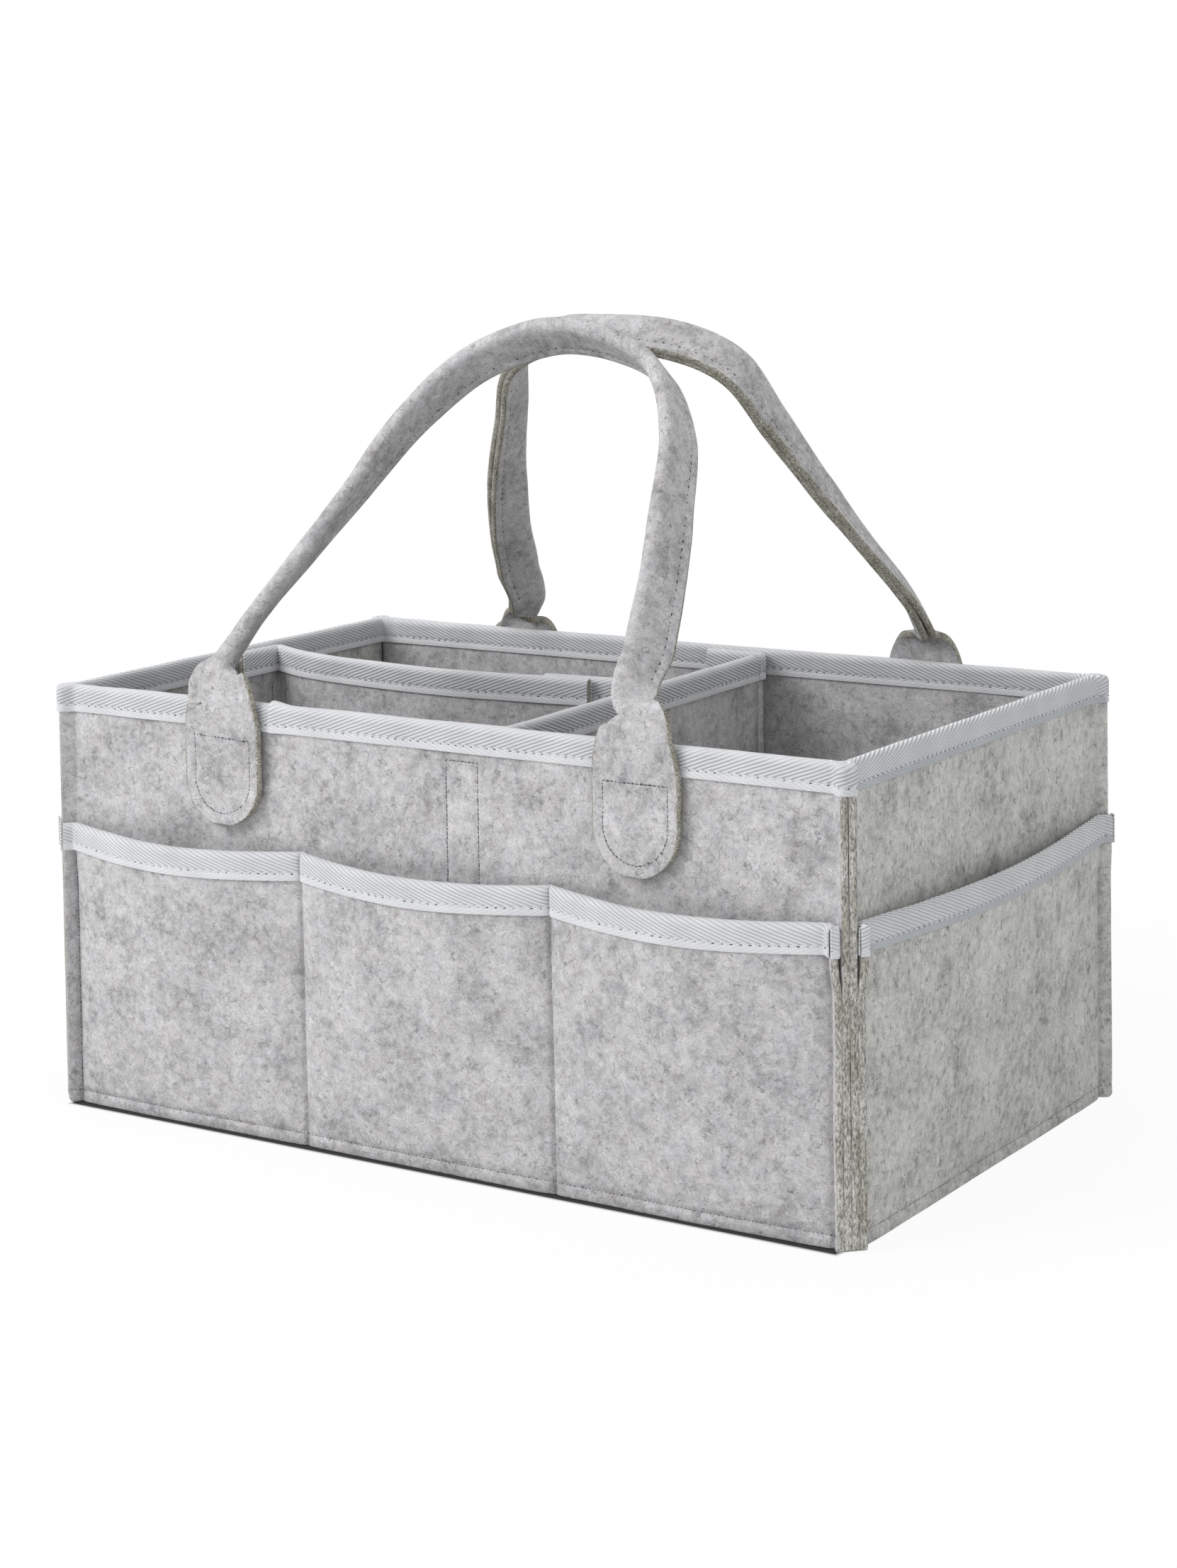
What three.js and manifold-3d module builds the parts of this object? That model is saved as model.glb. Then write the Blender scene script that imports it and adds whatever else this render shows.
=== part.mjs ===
// Felt caddy: an open box of grey wool felt with outer pockets, two gathered strap handles and
// a removable cross and long divider held by hook and loop flaps. Millimetres, +Z up,
// +X along the length, -Y the front. The origin is the middle of the base on the ground.
import * as THREE from 'three';
import { mergeVertices } from 'three/addons/utils/BufferGeometryUtils.js';
import Module from 'manifold-3d';

// Box
const boxLength = 374;      // between the outer faces of the end walls, at the base
const boxWidth = 224;       // between the outer faces of the long walls, at the base
const boxHeight = 180;      // ground to the top of the rim binding
const endLean = 3.5;        // how far each end wall leans in at the rim
const sideLean = 2.3;       // how far each long wall leans in at the rim
const felt = 3;             // felt thickness
const finReach = 4.5;       // seam allowance that stands out at each corner
const seamHeight = 5.2;     // bottom seam above the ground
const clearance = 0.3;      // gap left between neighbouring pieces

// Binding tape
const tape = 0.8;           // tape thickness
const tapeHeight = 11.5;    // how far the folded tape reaches down each face

// Outer pockets
const pocketHeight = 122;   // ground to the pocket mouth at a seam
const sideBays = 3;         // pockets along each long wall
const endBays = 1;          // pockets on each end wall
const sideBow = 10;         // how far a mouth bows out from the long wall
const endBow = 6.5;         // the same on an end wall
const mouthDip = 2;         // how far a mouth sags between its seams

// Handles
const tabSpacing = 200;     // between the middles of the front handle's two tabs
const backTabShift = 5;     // how much further out each tab of the back handle is
const tabWidth = 38;        // width of the felt strip, flat on the wall
const tabDrop = 51;         // how far a tab's round end reaches below the rim
const shoulderDrop = 17;    // how far below the rim a tab starts to narrow
const shoulderRise = 17;    // how far above the rim its round shoulders would meet
const strapRise = 8;        // how far above the rim the strap folds away from its tab
const strapLength = 170;    // from that line to the middle of the strap at the crest
const strapDepth = 19.5;    // from the fold to the raw edges of the folded strip
const strapThickness = 6.5; // across the two layers
const rootTwist = 42;       // how far a strap's raw edges turn outward above its tabs, in degrees
const crestTwist = -6;      // the same at the crest, where they turn in
const foldLength = 20;      // where the flat strip gathers into the folded strap
const tabBevel = 1.5;       // softened outer edge at the top of a tab
const lipShare = 0.7;       // thickness at the sewn edge of the strap, as a share of the whole
const foldRound = 3;        // how far the round of the fold reaches into the strap's depth
const lipRound = 1.2;       // the same at its sewn edge
const cornerShare = 0.7;    // flat strip's thickness at its corners, as a share of the whole

// Dividers
const dividerDrop = 1;      // dividers stand this far below the rim
const flapLength = 25;      // end flap folded against the wall
const tapeBreak = 4.5;      // a flap's tape starts this far from its fold
const fastener = 0.9;       // thickness of a hook or loop strip
const stripWidth = 17;
const stripLength = 120;
const stripDrop = 2;        // strips start this far below the rim binding
const crossBack = 29;       // X of the cross divider at the back wall
const crossFront = 34;      // X of the cross divider at the front wall
const longWallY = 24;       // Y where the long divider meets the end wall
const longSagY = 1;         // Y of the long divider in the middle of its bow
const longEndY = 8;         // Y of its free end
const longEndX = 0;         // X of its free end
const bracketRise = 4;      // how much further its line has risen at the cross divider
const bracketLap = 24;      // how far the centre bracket reaches behind that end

const halfLength = boxLength / 2;
const halfWidth = boxWidth / 2;
const baseTop = seamHeight + felt;
const wallTop = boxHeight - tape - clearance;
const tabBottom = boxHeight - tabDrop;
const strapRoot = boxHeight + strapRise;
const tapeStack = tape + 2 * clearance;              // tape between two pieces of felt
const fastenerStack = 2 * fastener + 3 * clearance;  // hook on loop between two pieces of felt
const dividerTop = boxHeight - dividerDrop;
const dividerBottom = baseTop + clearance;

const wasm = await Module();
wasm.setup();

const feltGrey = new THREE.MeshStandardMaterial({ color: 0xb9b8b8, roughness: 0.95, metalness: 0 });
const tapeGrey = new THREE.MeshStandardMaterial({ color: 0xc9cdd1, roughness: 0.8, metalness: 0 });
const hookGrey = new THREE.MeshStandardMaterial({ color: 0xa9adb0, roughness: 0.9, metalness: 0 });

const caddy = new THREE.Group();

function add(name, geometry, material) {
  const mesh = new THREE.Mesh(geometry, material);
  mesh.name = name;
  caddy.add(mesh);
}

// Turns faces outwards when a loft was wound the other way round.
function outward(geometry) {
  const p = geometry.getAttribute('position');
  const index = geometry.getIndex().array;
  const [a, b, c] = [new THREE.Vector3(), new THREE.Vector3(), new THREE.Vector3()];
  let volume = 0;
  for (let i = 0; i < index.length; i += 3) {
    a.fromBufferAttribute(p, index[i]);
    b.fromBufferAttribute(p, index[i + 1]);
    c.fromBufferAttribute(p, index[i + 2]);
    volume += a.dot(b.cross(c));
  }
  if (volume < 0) {
    geometry.setIndex(Array.from(index).reverse());
  }
  return geometry;
}

// Joins rings of points into a closed skin. The contour is the ring's flat outline for its caps.
function loft(rings, contour) {
  const count = contour.length;
  const index = [];
  for (let i = 0; i + 1 < rings.length; i += 1) {
    for (let j = 0; j < count; j += 1) {
      const k = (j + 1) % count;
      const [a, b, c, d] = [i * count + j, i * count + k, (i + 1) * count + k, (i + 1) * count + j];
      index.push(a, b, c, a, c, d);
    }
  }
  const clockwise = THREE.ShapeUtils.isClockWise(contour);
  const last = (rings.length - 1) * count;
  for (const [a, b, c] of THREE.ShapeUtils.triangulateShape(contour, [])) {
    const cap = clockwise ? [a, b, c] : [c, b, a];
    index.push(...cap, ...[...cap].reverse().map((i) => last + i));
  }
  const points = rings.flat().flatMap((v) => v.toArray());
  const geometry = new THREE.BufferGeometry();
  geometry.setAttribute('position', new THREE.Float32BufferAttribute(points, 3));
  geometry.setIndex(index);
  return outward(geometry);
}

function toSolid(geometry) {
  const plain = new THREE.BufferGeometry();
  plain.setAttribute('position', geometry.getAttribute('position').clone());
  if (geometry.getIndex()) {
    plain.setIndex(geometry.getIndex().clone());
  }
  const merged = mergeVertices(plain, 1e-4);
  return new wasm.Manifold(new wasm.Mesh({
    numProp: 3,
    vertProperties: new Float32Array(merged.getAttribute('position').array),
    triVerts: new Uint32Array(merged.getIndex().array),
  }));
}

function fromSolid(solid) {
  const { vertProperties, triVerts } = solid.getMesh();
  const geometry = new THREE.BufferGeometry();
  geometry.setAttribute('position', new THREE.Float32BufferAttribute(vertProperties, 3));
  geometry.setIndex(Array.from(triVerts));
  return geometry;
}

const subtract = (a, b) => fromSolid(toSolid(a).subtract(toSolid(b)));
const unite = (...pieces) => fromSolid(pieces.map(toSolid).reduce((a, b) => a.add(b)));

function prism(shape, depth) {
  return new THREE.ExtrudeGeometry(shape, { depth, bevelEnabled: false, curveSegments: 12 });
}

// A plan outline raised from one height to another, with an optional hole.
function raised(outline, low, high, hole) {
  const shape = new THREE.Shape(outline);
  if (hole) {
    shape.holes.push(new THREE.Path(hole));
  }
  return prism(shape, high - low).translate(0, 0, low);
}

// An upright outline in X and Z, extruded from y = near to y = far.
function upright(shape, near, far) {
  return prism(shape, far - near).rotateX(Math.PI / 2).translate(0, far, 0);
}

const flat = (points) => points.map(([x, y]) => new THREE.Vector2(x, y));
const rectangle = (x, y) => flat([[-x, -y], [x, -y], [x, y], [-x, y]]);

const leanX = (x, z) => x * (1 - (endLean / halfLength) * (z / boxHeight));
const leanY = (y, z) => y * (1 - (sideLean / halfWidth) * (z / boxHeight));

// Leans a sewn piece in towards the rim, as the walls lean.
function leaned(geometry) {
  const p = geometry.getAttribute('position');
  for (let i = 0; i < p.count; i += 1) {
    const [x, y, z] = [p.getX(i), p.getY(i), p.getZ(i)];
    p.setXYZ(i, leanX(x, z), leanY(y, z), z);
  }
  return geometry;
}

// The four walls. Each is drawn facing +Y, with u along it, and turned to its side.
const sides = {
  back: { turn: 0, span: halfLength, out: halfWidth, bays: sideBays, bow: sideBow },
  left: { turn: Math.PI / 2, span: halfWidth, out: halfLength, bays: endBays, bow: endBow },
  front: { turn: Math.PI, span: halfLength, out: halfWidth, bays: sideBays, bow: sideBow },
  right: { turn: -Math.PI / 2, span: halfWidth, out: halfLength, bays: endBays, bow: endBow },
};

// Where a layer at a depth from the wall's inner face turns out into the corner fin, and ends.
function finRoot(side, depth) {
  const across = clearance * Math.SQRT1_2 + depth * (Math.SQRT2 - 1);
  return new THREE.Vector2(side.span - felt - across, side.out - felt + depth);
}

function finTip(side, depth, reach = finReach) {
  return new THREE.Vector2(
    side.span + (reach - clearance / 2 - depth) * Math.SQRT1_2,
    side.out + (reach + clearance / 2 + depth) * Math.SQRT1_2,
  );
}

const mirrored = (point) => new THREE.Vector2(-point.x, point.y);

function wall(side) {
  const inner = [finRoot(side, 0), finTip(side, 0)];
  const outer = [finTip(side, felt), finRoot(side, felt)];
  const flip = (points) => [...points].reverse().map(mirrored);
  const outline = [...flip(inner), ...inner, ...outer, ...flip(outer)];
  return leaned(raised(outline, 0, wallTop).rotateZ(side.turn));
}

// Pocket mouths bow out and dip between the seams, and lie flat on the wall at the bottom seam.
const bayPhase = (side, u, from) => Math.abs(Math.sin((Math.PI * side.bays * (u + from)) / (2 * from)));
const swell = (z) => Math.sin((Math.PI / 2) * Math.min(z / pocketHeight, 1));
const seamRise = (z) => Math.min(z / (pocketHeight - 2 * tapeHeight), 1);
const standOff = (z) => THREE.MathUtils.lerp(clearance, tapeStack, seamRise(z));

const baySteps = 8;

// Stations along a pocket panel, from the tip of one fin to the tip of the other.
function pocketStations(side) {
  const steps = baySteps * side.bays;
  const span = finRoot(side, 2 * felt + tapeStack).x;
  const bay = Array.from({ length: steps + 1 }, (_, i) => -span + (2 * span * i) / steps);
  const fin = (pick, flip) => ({
    lift: 0,
    at: (depth) => (flip ? mirrored(pick(side, depth)) : pick(side, depth)),
  });
  const along = bay.slice(1, -1).map((u) => {
    const lift = bayPhase(side, u, span);
    const bulge = (z) => side.out - felt + side.bow * lift * swell(z);
    return { lift, at: (depth, z) => new THREE.Vector2(u, bulge(z) + depth) };
  });
  return [fin(finTip, true), fin(finRoot, true), ...along, fin(finRoot, false), fin(finTip, false)];
}

function sweptAlong(stations, section) {
  const rings = stations.map((station) => section.map(([depth, z, follow]) => {
    const height = z - mouthDip * station.lift * follow;
    const point = station.at(depth, height);
    return new THREE.Vector3(point.x, point.y, height);
  }));
  return loft(rings, flat(section));
}

function pocketPanel(side) {
  const top = pocketHeight - tape - clearance;
  const levels = [0, 0.25, 0.5, 0.75, 1].map((share) => top * share);
  const inner = levels.map((z) => [felt + standOff(z), z, z / top]);
  const outer = levels.map((z) => [2 * felt + standOff(z), z, z / top]).reverse();
  return leaned(sweptAlong(pocketStations(side), [...inner, ...outer]).rotateZ(side.turn));
}

function pocketBinding(side) {
  const near = felt + tapeStack - clearance;
  const far = 2 * felt + tapeStack + clearance;
  const [low, high] = [pocketHeight - tapeHeight, pocketHeight];
  const section = [
    [far + tape, low, 1], [far + tape, high, 1], [near - tape, high, 1], [near - tape, low, 1],
    [near, low, 1], [near, high - tape, 1], [far, high - tape, 1], [far, low, 1],
  ];
  return leaned(sweptAlong(pocketStations(side), section).rotateZ(side.turn));
}

// The binding folded over the rim follows the outside of the walls and fins.
function rimOutline(offset) {
  const points = [];
  for (const side of [sides.back, sides.left, sides.front, sides.right]) {
    const depth = felt + offset;
    const tip = finTip(side, depth, finReach + offset);
    const turned = (p) => p.clone().rotateAround(new THREE.Vector2(), side.turn);
    points.push(...[tip, finRoot(side, depth), mirrored(finRoot(side, depth)), mirrored(tip)].map(turned));
  }
  return points;
}

function rimBinding() {
  const low = boxHeight - tapeHeight;
  const crown = boxHeight - tape;
  const inside = (offset) => rectangle(halfLength - felt - offset, halfWidth - felt - offset);
  const outerSkirt = raised(rimOutline(clearance + tape), low, crown, rimOutline(clearance));
  const innerSkirt = raised(inside(clearance), low, crown, inside(clearance + tape));
  const fold = raised(rimOutline(clearance + tape), crown, boxHeight, inside(clearance + tape));
  return leaned(unite(outerSkirt, innerSkirt, fold));
}

// The base is one sheet with its edge turned down inside the walls.
function basePanel() {
  const [x, y] = [halfLength - felt - clearance, halfWidth - felt - clearance];
  const sheet = raised(rectangle(x, y), 0, baseTop);
  return leaned(subtract(sheet, raised(rectangle(x - felt, y - felt), -felt, seamHeight)));
}

// A handle tab lies flat on the wall over the rim binding. It ends round at the bottom, and narrows
// to the strap between round shoulders.
const tabBack = clearance + tapeStack;
const tabRadius = tabWidth / 2;
const tabTop = strapRoot - felt / 2 - clearance;
const shoulderZ = boxHeight - shoulderDrop;
const shoulderReach = shoulderDrop + shoulderRise;
const neckTurn = Math.asin((tabTop - shoulderZ) / shoulderReach);
const neckRadius = tabRadius * Math.cos(neckTurn);

function handleTab(side, u) {
  const shape = new THREE.Shape();
  shape.absarc(u, tabBottom + tabRadius, tabRadius, Math.PI, 2 * Math.PI, false);
  shape.absellipse(u, shoulderZ, tabRadius, shoulderReach, 0, neckTurn, false);
  shape.absellipse(u, shoulderZ, tabRadius, shoulderReach, Math.PI - neckTurn, Math.PI, false);
  shape.closePath();
  const near = side.out + tabBack - clearance;
  const outline = upright(shape, near, near + felt);
  const wedge = new THREE.Shape([
    new THREE.Vector2(near + felt - tabBevel, tabTop + tabBevel),
    new THREE.Vector2(near + felt - tabBevel, tabTop),
    new THREE.Vector2(near + felt, tabTop - tabBevel),
    new THREE.Vector2(near + felt + tabBevel, tabTop - tabBevel),
    new THREE.Vector2(near + felt + tabBevel, tabTop + tabBevel),
  ]);
  const bevel = new THREE.ExtrudeGeometry(wedge, { depth: tabWidth + 2 * tabBevel, bevelEnabled: false });
  bevel.applyMatrix4(new THREE.Matrix4().makeBasis(
    new THREE.Vector3(0, 1, 0), new THREE.Vector3(0, 0, 1), new THREE.Vector3(1, 0, 0)));
  bevel.translate(u - tabRadius - tabBevel, 0, 0);
  return leaned(subtract(outline, bevel).rotateZ(side.turn));
}

// Handle legs from the root to the crest, as shares of the root's X and of the reach.
const frontLeftLeg = [
  [1, 0], [0.98, 0.14], [0.85, 0.33], [0.72, 0.53], [0.59, 0.74], [0.4, 0.9], [0.16, 0.98],
];
const frontRightLeg = [
  [1, 0], [0.88, 0.14], [0.83, 0.33], [0.77, 0.53], [0.69, 0.74], [0.52, 0.9], [0.24, 0.98],
];
const backLeftLeg = [
  [1, 0], [0.85, 0.14], [0.77, 0.33], [0.66, 0.53], [0.51, 0.74], [0.39, 0.9], [0.19, 0.98],
];
const backRightLeg = [
  [1, 0], [0.99, 0.14], [0.89, 0.33], [0.79, 0.53], [0.7, 0.74], [0.62, 0.9], [0.41, 0.98],
];

const rootY = leanY(halfWidth + tabBack - clearance + felt, strapRoot);

// The handles lean in until their raw edges meet over the middle of the box.
const crestOut = strapLength + (lipShare ** 2 * strapThickness) / 2;
const crestIn = strapDepth - felt / 2;
const crestSpan = Math.hypot(crestOut, crestIn);
const strapLean = Math.asin((rootY - clearance / 2) / crestSpan) - Math.atan2(crestIn, crestOut);

// A flat strip at the root, a drop shape with its fold outside further on.
function strapSection(halfAcross, near, far, folded) {
  const shoulder = THREE.MathUtils.lerp(near * cornerShare, near + foldRound, folded);
  const lip = THREE.MathUtils.lerp(far * cornerShare, far - lipRound, folded);
  const pinch = THREE.MathUtils.lerp(1, lipShare, folded);
  const half = [
    [0.55, near], [0.9, (near * 2 + shoulder) / 3], [1, shoulder], [1, (shoulder + lip) / 2],
    [(1 + pinch) / 2, (shoulder + 3 * lip) / 4], [pinch, lip], [pinch * lipShare, far],
  ];
  const right = half.map(([w, n]) => [w * halfAcross, n]);
  return [...right, ...right.map(([w, n]) => [-w, n]).reverse()];
}

// The strap is lofted along its arch. Each end is rounded about the line on which it swings.
function strap(side, tabX, plusLeg, minusLeg) {
  const rootX = leanX(tabX, strapRoot);
  const place = (sign) => ([share, rise]) => new THREE.Vector3(sign * share * rootX, rise * strapLength, 0);
  const crest = new THREE.Vector3(0, strapLength, 0);
  const points = [...minusLeg.map(place(-1)), crest, ...[...plusLeg].reverse().map(place(1))];
  const curve = new THREE.CatmullRomCurve3(points, false, 'centripetal');
  const length = curve.getLength();
  const gather = [0, 0.15, 0.35, 0.6, 0.8, 1].map((share) => share * foldLength);
  const steps = 40;
  const middle = Array.from({ length: steps - 1 }, (_, i) => (
    THREE.MathUtils.lerp(foldLength, length - foldLength, (i + 1) / steps)));
  const distances = [...gather, ...middle, ...[...gather].reverse().map((d) => length - d)];

  const ring = (point, across, section, twist = 0) => section.map(([w, n]) => {
    const inward = w * Math.cos(twist) - n * Math.sin(twist);
    const depth = n * Math.cos(twist) + w * Math.sin(twist);
    const [x, s] = [point.x + inward * across.x, point.y + inward * across.y];
    const y = rootY - s * Math.sin(strapLean) - depth * Math.cos(strapLean);
    const z = strapRoot + s * Math.cos(strapLean) - depth * Math.sin(strapLean);
    return new THREE.Vector3(x, y, z);
  });
  const rings = distances.map((distance) => {
    const point = curve.getPointAt(distance / length);
    const tangent = curve.getTangentAt(distance / length);
    const folded = THREE.MathUtils.smoothstep(Math.min(distance, length - distance), 0, foldLength);
    const sideways = new THREE.Vector2(distance < length / 2 ? 1 : -1, 0);
    const across = new THREE.Vector2(tangent.y, -tangent.x).lerp(sideways, 1 - folded).normalize();
    const halfAcross = THREE.MathUtils.lerp(neckRadius, strapThickness / 2, folded);
    const far = THREE.MathUtils.lerp(felt / 2, strapDepth - felt / 2, folded);
    const up = THREE.MathUtils.smoothstep(Math.min(distance, length - distance) / (length / 2), 0, 1);
    const twist = THREE.MathUtils.degToRad(THREE.MathUtils.lerp(rootTwist, crestTwist, up)) * folded;
    return ring(point, across, strapSection(halfAcross, -felt / 2, far, folded), twist);
  });
  const rounded = (sign) => [0.95, 0.7].map((share) => {
    const half = (felt / 2) * Math.sqrt(1 - share * share);
    const point = new THREE.Vector2(-sign * rootX, (-share * felt) / 2);
    return ring(point, new THREE.Vector2(sign, 0), strapSection(neckRadius, -half, half, 0));
  });
  const contour = flat(strapSection(neckRadius, -felt / 2, felt / 2, 0));
  return loft([...rounded(1), ...rings, ...rounded(-1).reverse()], contour).rotateZ(side.turn);
}

// Dividers follow a curve in plan. A ring across it may be cut square to X, along a wall.
function planRings(curve, from, to, steps, section, squareStart = false) {
  return Array.from({ length: steps + 1 }, (_, i) => {
    const share = from + ((to - from) * i) / steps;
    const point = curve.getPointAt(share);
    const tangent = curve.getTangentAt(share);
    const across = new THREE.Vector3(-tangent.y, tangent.x, 0).normalize();
    if (squareStart && i === 0) {
      across.set(0, 1 / across.y, 0);
    }
    return section.map(([offset, z]) => point.clone().addScaledVector(across, offset).setZ(z));
  });
}

// Felt standing on edge between two offsets from the curve.
function planStrip(curve, [from, to], [near, far], [low, high], steps = 12, squareStart = false) {
  const section = [[near, low], [far, low], [far, high], [near, high]];
  return loft(planRings(curve, from, to, steps, section, squareStart), flat(section));
}

// Tape folded over the top edge of felt whose middle lies at an offset from the curve.
function planBinding(curve, [from, to], middle = 0, steps = 12, squareStart = false) {
  const inside = felt / 2 + clearance;
  const outside = inside + tape;
  const low = dividerTop - tapeHeight;
  const section = [
    [-outside, low], [-inside, low], [-inside, dividerTop - tape], [inside, dividerTop - tape],
    [inside, low], [outside, low], [outside, dividerTop], [-outside, dividerTop],
  ].map(([offset, z]) => [middle + offset, z]);
  return loft(planRings(curve, from, to, steps, section, squareStart), flat(section));
}

const onPlan = (x, y) => new THREE.Vector3(x, y, 0);
const line = (x0, y0, x1, y1) => new THREE.LineCurve3(onPlan(x0, y0), onPlan(x1, y1));
const edge = felt / 2;
const tapeReach = clearance + tape;                  // how far tape stands out from the felt it binds
const feltTop = dividerTop - tape - clearance;
const tapeLow = dividerTop - tapeHeight - clearance; // felt below this is clear of the tape

// A lifted divider has to clear the rim binding, where the box is narrowest.
const flapX = leanX(halfLength - felt - tapeReach, boxHeight) - clearance - tapeReach;
const flapY = leanY(halfWidth - felt - tapeReach, boxHeight) - clearance - tapeReach;

// Hook and loop strips
const stripHigh = boxHeight - tapeHeight - stripDrop;
const stripLow = stripHigh - stripLength;
const stripInset = 2;

function flatStrip(x0, x1, y0, y1) {
  return raised(flat([[x0, y0], [x1, y0], [x1, y1], [x0, y1]]), stripLow, stripHigh);
}

function loopStrip(side, u) {
  const outer = side.out - felt - clearance;
  const strip = flatStrip(u - stripWidth / 2, u + stripWidth / 2, outer - fastener, outer);
  return leaned(strip.rotateZ(side.turn));
}

// A flap starts at a divider's face, here x = 0, and lies along a wall on its +Y or -Y side.
// Its binding starts a little further on, clear of the divider's own.
function addFlap(name, sign, tapeStart, place) {
  const shape = new THREE.Shape(flat([
    [-flapLength, dividerBottom], [0, dividerBottom], [0, tapeLow],
    [-tapeStart, tapeLow], [-tapeStart, feltTop], [-flapLength, feltTop],
  ]));
  const middle = -sign * edge;
  const binding = planBinding(line(-flapLength, middle, -tapeStart - clearance, middle), [0, 1], 0, 1);
  const [near, far] = [sign * clearance, sign * (clearance + fastener)];
  const end = stripInset - flapLength;
  const hook = flatStrip(end, end + stripWidth, Math.min(near, far), Math.max(near, far));
  add(`${name}_flap`, place(upright(shape, middle - edge, middle + edge)), feltGrey);
  add(`${name}_flap_binding`, place(binding), tapeGrey);
  add(`${name}_hook_strip`, place(hook), hookGrey);
}

const flapStripMiddle = flapLength - stripInset - stripWidth / 2;

// The cross divider runs from the back wall to the front wall. Its flaps turn towards -X.
const crossCurve = line(crossBack, flapY, crossFront, -flapY);
const crossAt = (y) => THREE.MathUtils.mapLinear(y, flapY, -flapY, crossBack, crossFront);

function addCrossDivider() {
  const panel = planStrip(crossCurve, [0, 1], [-edge, edge], [dividerBottom, feltTop], 1);
  add('cross_divider_panel', panel, feltGrey);
  add('cross_divider_binding', planBinding(crossCurve, [0, 1], 0, 1), tapeGrey);
  for (const [name, sign, x] of [['back', 1, crossBack], ['front', -1, crossFront]]) {
    const root = x - edge - 2 * clearance;
    addFlap(`cross_${name}`, sign, tapeBreak, (piece) => piece.translate(root, sign * flapY, 0));
    add(`${name}_loop_strip`, loopStrip(sides[name], sign * (root - flapStripMiddle)), hookGrey);
  }
}

// The long divider bows from the left end wall to its free end, which laps the centre bracket.
const longCurve = new THREE.CatmullRomCurve3([
  [-flapX, longWallY],
  [-0.85 * flapX, THREE.MathUtils.lerp(longWallY, longSagY, 0.55)],
  [-0.62 * flapX, THREE.MathUtils.lerp(longWallY, longSagY, 0.87)],
  [-0.36 * flapX, longSagY],
  [longEndX, longEndY],
  [crossAt(longEndY) - edge, longEndY + bracketRise],
].map(([x, y]) => onPlan(x, y)), false, 'centripetal');

function shareAt(curve, x) {
  let [low, high] = [0, 1];
  for (let i = 0; i < 30; i += 1) {
    const middle = (low + high) / 2;
    [low, high] = curve.getPointAt(middle).x < x ? [middle, high] : [low, middle];
  }
  return low;
}

function addLongDivider() {
  const end = shareAt(longCurve, longEndX);
  const heights = [dividerBottom, feltTop];
  add('long_divider_panel', planStrip(longCurve, [0, end], [-edge, edge], heights, 16, true), feltGrey);
  add('long_divider_binding', planBinding(longCurve, [0, end], 0, 16, true), tapeGrey);

  // The flap at the end wall starts where the slanted divider has passed its thickness.
  const start = longCurve.getTangentAt(0);
  const slope = start.y / start.x;
  const slant = Math.hypot(1, slope);
  const root = longWallY + slope * felt - edge * slant - clearance;
  const turn = Math.PI / 2;
  addFlap('long_divider', 1, tapeBreak, (piece) => piece.rotateZ(turn).translate(-flapX, root, 0));
  add('left_loop_strip', loopStrip(sides.left, root - flapStripMiddle), hookGrey);
}

// The bracket stands out from the cross divider behind the long divider's free end.
function addBracket() {
  const middle = felt + fastenerStack;
  const layer = [middle - edge, middle + edge];
  const face = crossAt(longEndY + middle) - edge - 2 * clearance;
  const from = shareAt(longCurve, longEndX - bracketLap);
  const [to, short] = [shareAt(longCurve, face), shareAt(longCurve, face - tapeReach)];
  const arm = planStrip(longCurve, [from, to], layer, [dividerBottom, tapeLow]);
  const top = planStrip(longCurve, [from, short], layer, [tapeLow - felt, feltTop]);
  add('centre_bracket', unite(arm, top), feltGrey);
  add('centre_bracket_binding', planBinding(longCurve, [from, short], middle), tapeGrey);

  const stripEnd = longEndX - stripInset;
  const strips = [stripEnd - stripWidth, stripEnd].map((x) => shareAt(longCurve, x));
  const hook = [edge + clearance, edge + clearance + fastener];
  const loop = [middle - edge - clearance - fastener, middle - edge - clearance];
  add('long_end_hook_strip', planStrip(longCurve, strips, hook, [stripLow, stripHigh], 3), hookGrey);
  add('centre_loop_strip', planStrip(longCurve, strips, loop, [stripLow, stripHigh], 3), hookGrey);
}

for (const [name, side] of Object.entries(sides)) {
  add(`${name}_wall`, wall(side), feltGrey);
  add(`${name}_pocket_panel`, pocketPanel(side), feltGrey);
  add(`${name}_pocket_binding`, pocketBinding(side), tapeGrey);
}
add('base_panel', basePanel(), feltGrey);
add('rim_binding', rimBinding(), tapeGrey);
const frontTabX = tabSpacing / 2;
const backTabX = frontTabX + backTabShift;
for (const [name, side, u] of [['front', sides.front, -frontTabX], ['back', sides.back, backTabX]]) {
  add(`${name}_left_handle_tab`, handleTab(side, -u), feltGrey);
  add(`${name}_right_handle_tab`, handleTab(side, u), feltGrey);
}
add('front_handle_strap', strap(sides.front, frontTabX, frontLeftLeg, frontRightLeg), feltGrey);
add('back_handle_strap', strap(sides.back, backTabX, backRightLeg, backLeftLeg), feltGrey);
addCrossDivider();
addLongDivider();
addBracket();

export default caddy;
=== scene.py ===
# Felt caddy: grey wool felt bound with herringbone tape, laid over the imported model's frame.
# Shapes are worked out in millimetres and become metres as each mesh is made.
import bmesh
import bpy
import math
from functools import partial
import numpy as np
from mathutils import Matrix, Vector, noise


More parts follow.
